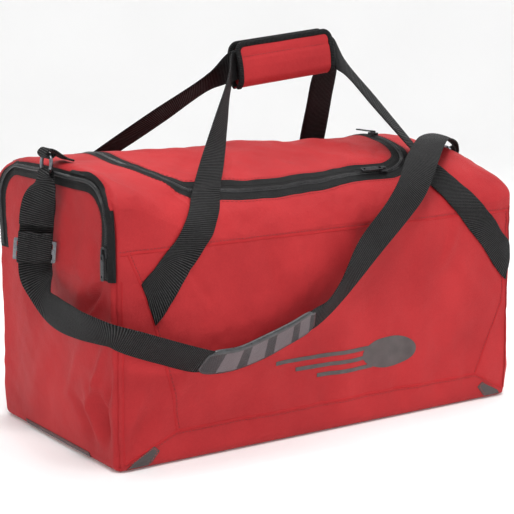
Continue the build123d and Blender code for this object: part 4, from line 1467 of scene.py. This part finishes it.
def grip_binding(tag, side, body):
    """Ribbed tape folded over the two ends and the top of one leaf, with rounded corners."""
    side_x, top_z = CORNER - 3.6, CORNER - 3.2
    low, high = 427.5, GRIP_TOP_Z - CORNER
    turns = [math.pi / 2 * k / 10 for k in range(1, 10)]
    path = [(GRIP_X0 + 3.6, z) for z in np.linspace(low, high, 12)]
    path += [(GRIP_X0 + CORNER - side_x * math.cos(a), high + top_z * math.sin(a)) for a in turns]
    path += [(x, 480.8) for x in np.linspace(GRIP_X0 + CORNER, GRIP_X1 - CORNER, 34)]
    path += [(GRIP_X1 - CORNER + side_x * math.cos(a), high + top_z * math.sin(a)) for a in turns[::-1]]
    path += [(GRIP_X1 - 3.6, z) for z in np.linspace(high, low, 12)]
    centres = np.array([(x, GRIP_Y + side * (leaf_out(z) + 1.9), z) for x, z in path])
    acrosses = []
    for i in range(len(centres)):
        tangent = unit(centres[min(i + 1, len(centres) - 1)] - centres[max(i - 1, 0)])
        acrosses.append(unit(np.cross(tangent, np.array([0.0, side, 0.0]))))

    def section(*_):
        ring = []
        for k in range(14):
            a = 2 * math.pi * k / 14
            ca, sa = math.cos(a), math.sin(a)
            ring.append((3.9 * math.copysign(abs(ca) ** 0.7, ca), 2.5 * math.copysign(abs(sa) ** 0.8, sa)))
        return ring

    points, faces, uvs = sweep(centres, acrosses, [8.0] * len(centres), section)
    obj = make_object("grip_binding_" + tag + "_tape", tilted(points) * MM, faces, [BINDING], None, uvs, 60.0)
    grip_follow(obj, body)
    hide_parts("grip_binding_" + tag)


grip_leaf("front", -1, "front_handle")
grip_leaf("back", 1, "grip_flap")
grip_binding("front", -1, "front_handle")
grip_binding("back", 1, "grip_flap")

# ------------------------------------------------------------------ CAD parts that keep their shape
KEEP = {
    "ring_left": NICKEL, "ring_right": NICKEL, "strap_adjuster": ADJUSTER, "base_board": BOARD,
    "main_slider_front": BLACK_METAL, "main_pull_front": BLACK_METAL, "main_slider_side": BLACK_METAL,
    "main_pull_side": BLACK_METAL, "pocket_slider": BLACK_METAL, "pocket_pull": BLACK_METAL,
}
for cad, material in KEEP.items():
    obj = NODES[cad]
    obj.data.materials.clear()
    obj.data.materials.append(material)

# ------------------------------------------------------------------ floor, light and camera
world = bpy.data.worlds.new("studio")
bpy.context.scene.world = world
world.use_nodes = True
world.node_tree.nodes["Background"].inputs["Color"].default_value = (1.0, 1.0, 1.0, 1)
world.node_tree.nodes["Background"].inputs["Strength"].default_value = 0.54


def area_light(name, place, target, size, power):
    data = bpy.data.lights.new(name, "AREA")
    data.shape = "RECTANGLE"
    data.size, data.size_y = size
    data.energy = power
    obj = bpy.data.objects.new(name, data)
    bpy.context.scene.collection.objects.link(obj)
    obj.location = place
    obj.rotation_euler = (Vector(target) - Vector(place)).to_track_quat("-Z", "Y").to_euler()


area_light("key", (-0.5, -1.1, 2.6), (0, 0, 0.25), (0.8, 0.6), 36)
area_light("top", (0.3, 0.3, 2.4), (0, 0, 0.2), (1.6, 1.2), 25)
area_light("side", (2.2, -1.0, 1.1), (0, 0, 0.2), (1.2, 1.4), 6)

# a flat disc whose rim curves up into a wall behind the camera and the bag
SIDES = 96
floor_mesh = bpy.data.meshes.new("floor")
turns = np.linspace(0, 2 * math.pi, SIDES + 1)[:-1]
rings = [(0.9, 0), (1.8, 0), (2.6, 0)]
rings += [(2.6 + 1.2 * math.sin(a), 1.2 - 1.2 * math.cos(a)) for a in np.linspace(0.15, math.pi / 2, 12)]
rings.append((3.8, 5.0))
floor_points = [(0, 0, 0)]
for radius, rise in rings:
    floor_points += [(math.cos(a) * radius, math.sin(a) * radius, rise) for a in turns]
floor_faces = [(0, i + 1, (i + 1) % SIDES + 1) for i in range(SIDES)]
floor_faces += [(a, d, c, b) for a, b, c, d in tube_faces(1, len(rings), SIDES)]
floor_mesh.from_pydata(floor_points, [], floor_faces)
floor_mesh.shade_smooth()
floor = bpy.data.objects.new("floor", floor_mesh)
bpy.context.scene.collection.objects.link(floor)
floor.location.z = -0.0004
floor_mat, floor_tree, floor_shader = new_material("pale_floor")
floor_place = node(floor_tree, "ShaderNodeTexCoord").outputs["Object"]
floor_patches = noise(floor_tree, floor_place, 3.0)
floor_colour = ramp(floor_tree, floor_patches, [(0.3, (0.93, 0.93, 0.93)), (0.7, (0.96, 0.96, 0.96))])
floor_tree.links.new(floor_colour, floor_shader.inputs["Base Color"])
floor_shader.inputs["Roughness"].default_value = 0.85
floor_shader.inputs["Emission Color"].default_value = (1.0, 1.0, 1.0, 1)
floor_shader.inputs["Emission Strength"].default_value = 0.06
floor_mesh.materials.append(floor_mat)

camera_data = bpy.data.cameras.new("camera")
camera_data.lens = 106.4
camera_data.sensor_width = 36.0
camera = bpy.data.objects.new("camera", camera_data)
bpy.context.scene.collection.objects.link(camera)
camera.location = (-1.0926, -1.5999, 0.5601)
camera.rotation_euler = (math.radians(90 - 10.63), 0, math.radians(-34.16))
bpy.context.scene.camera = camera
bpy.context.scene.view_settings.view_transform = "Standard"
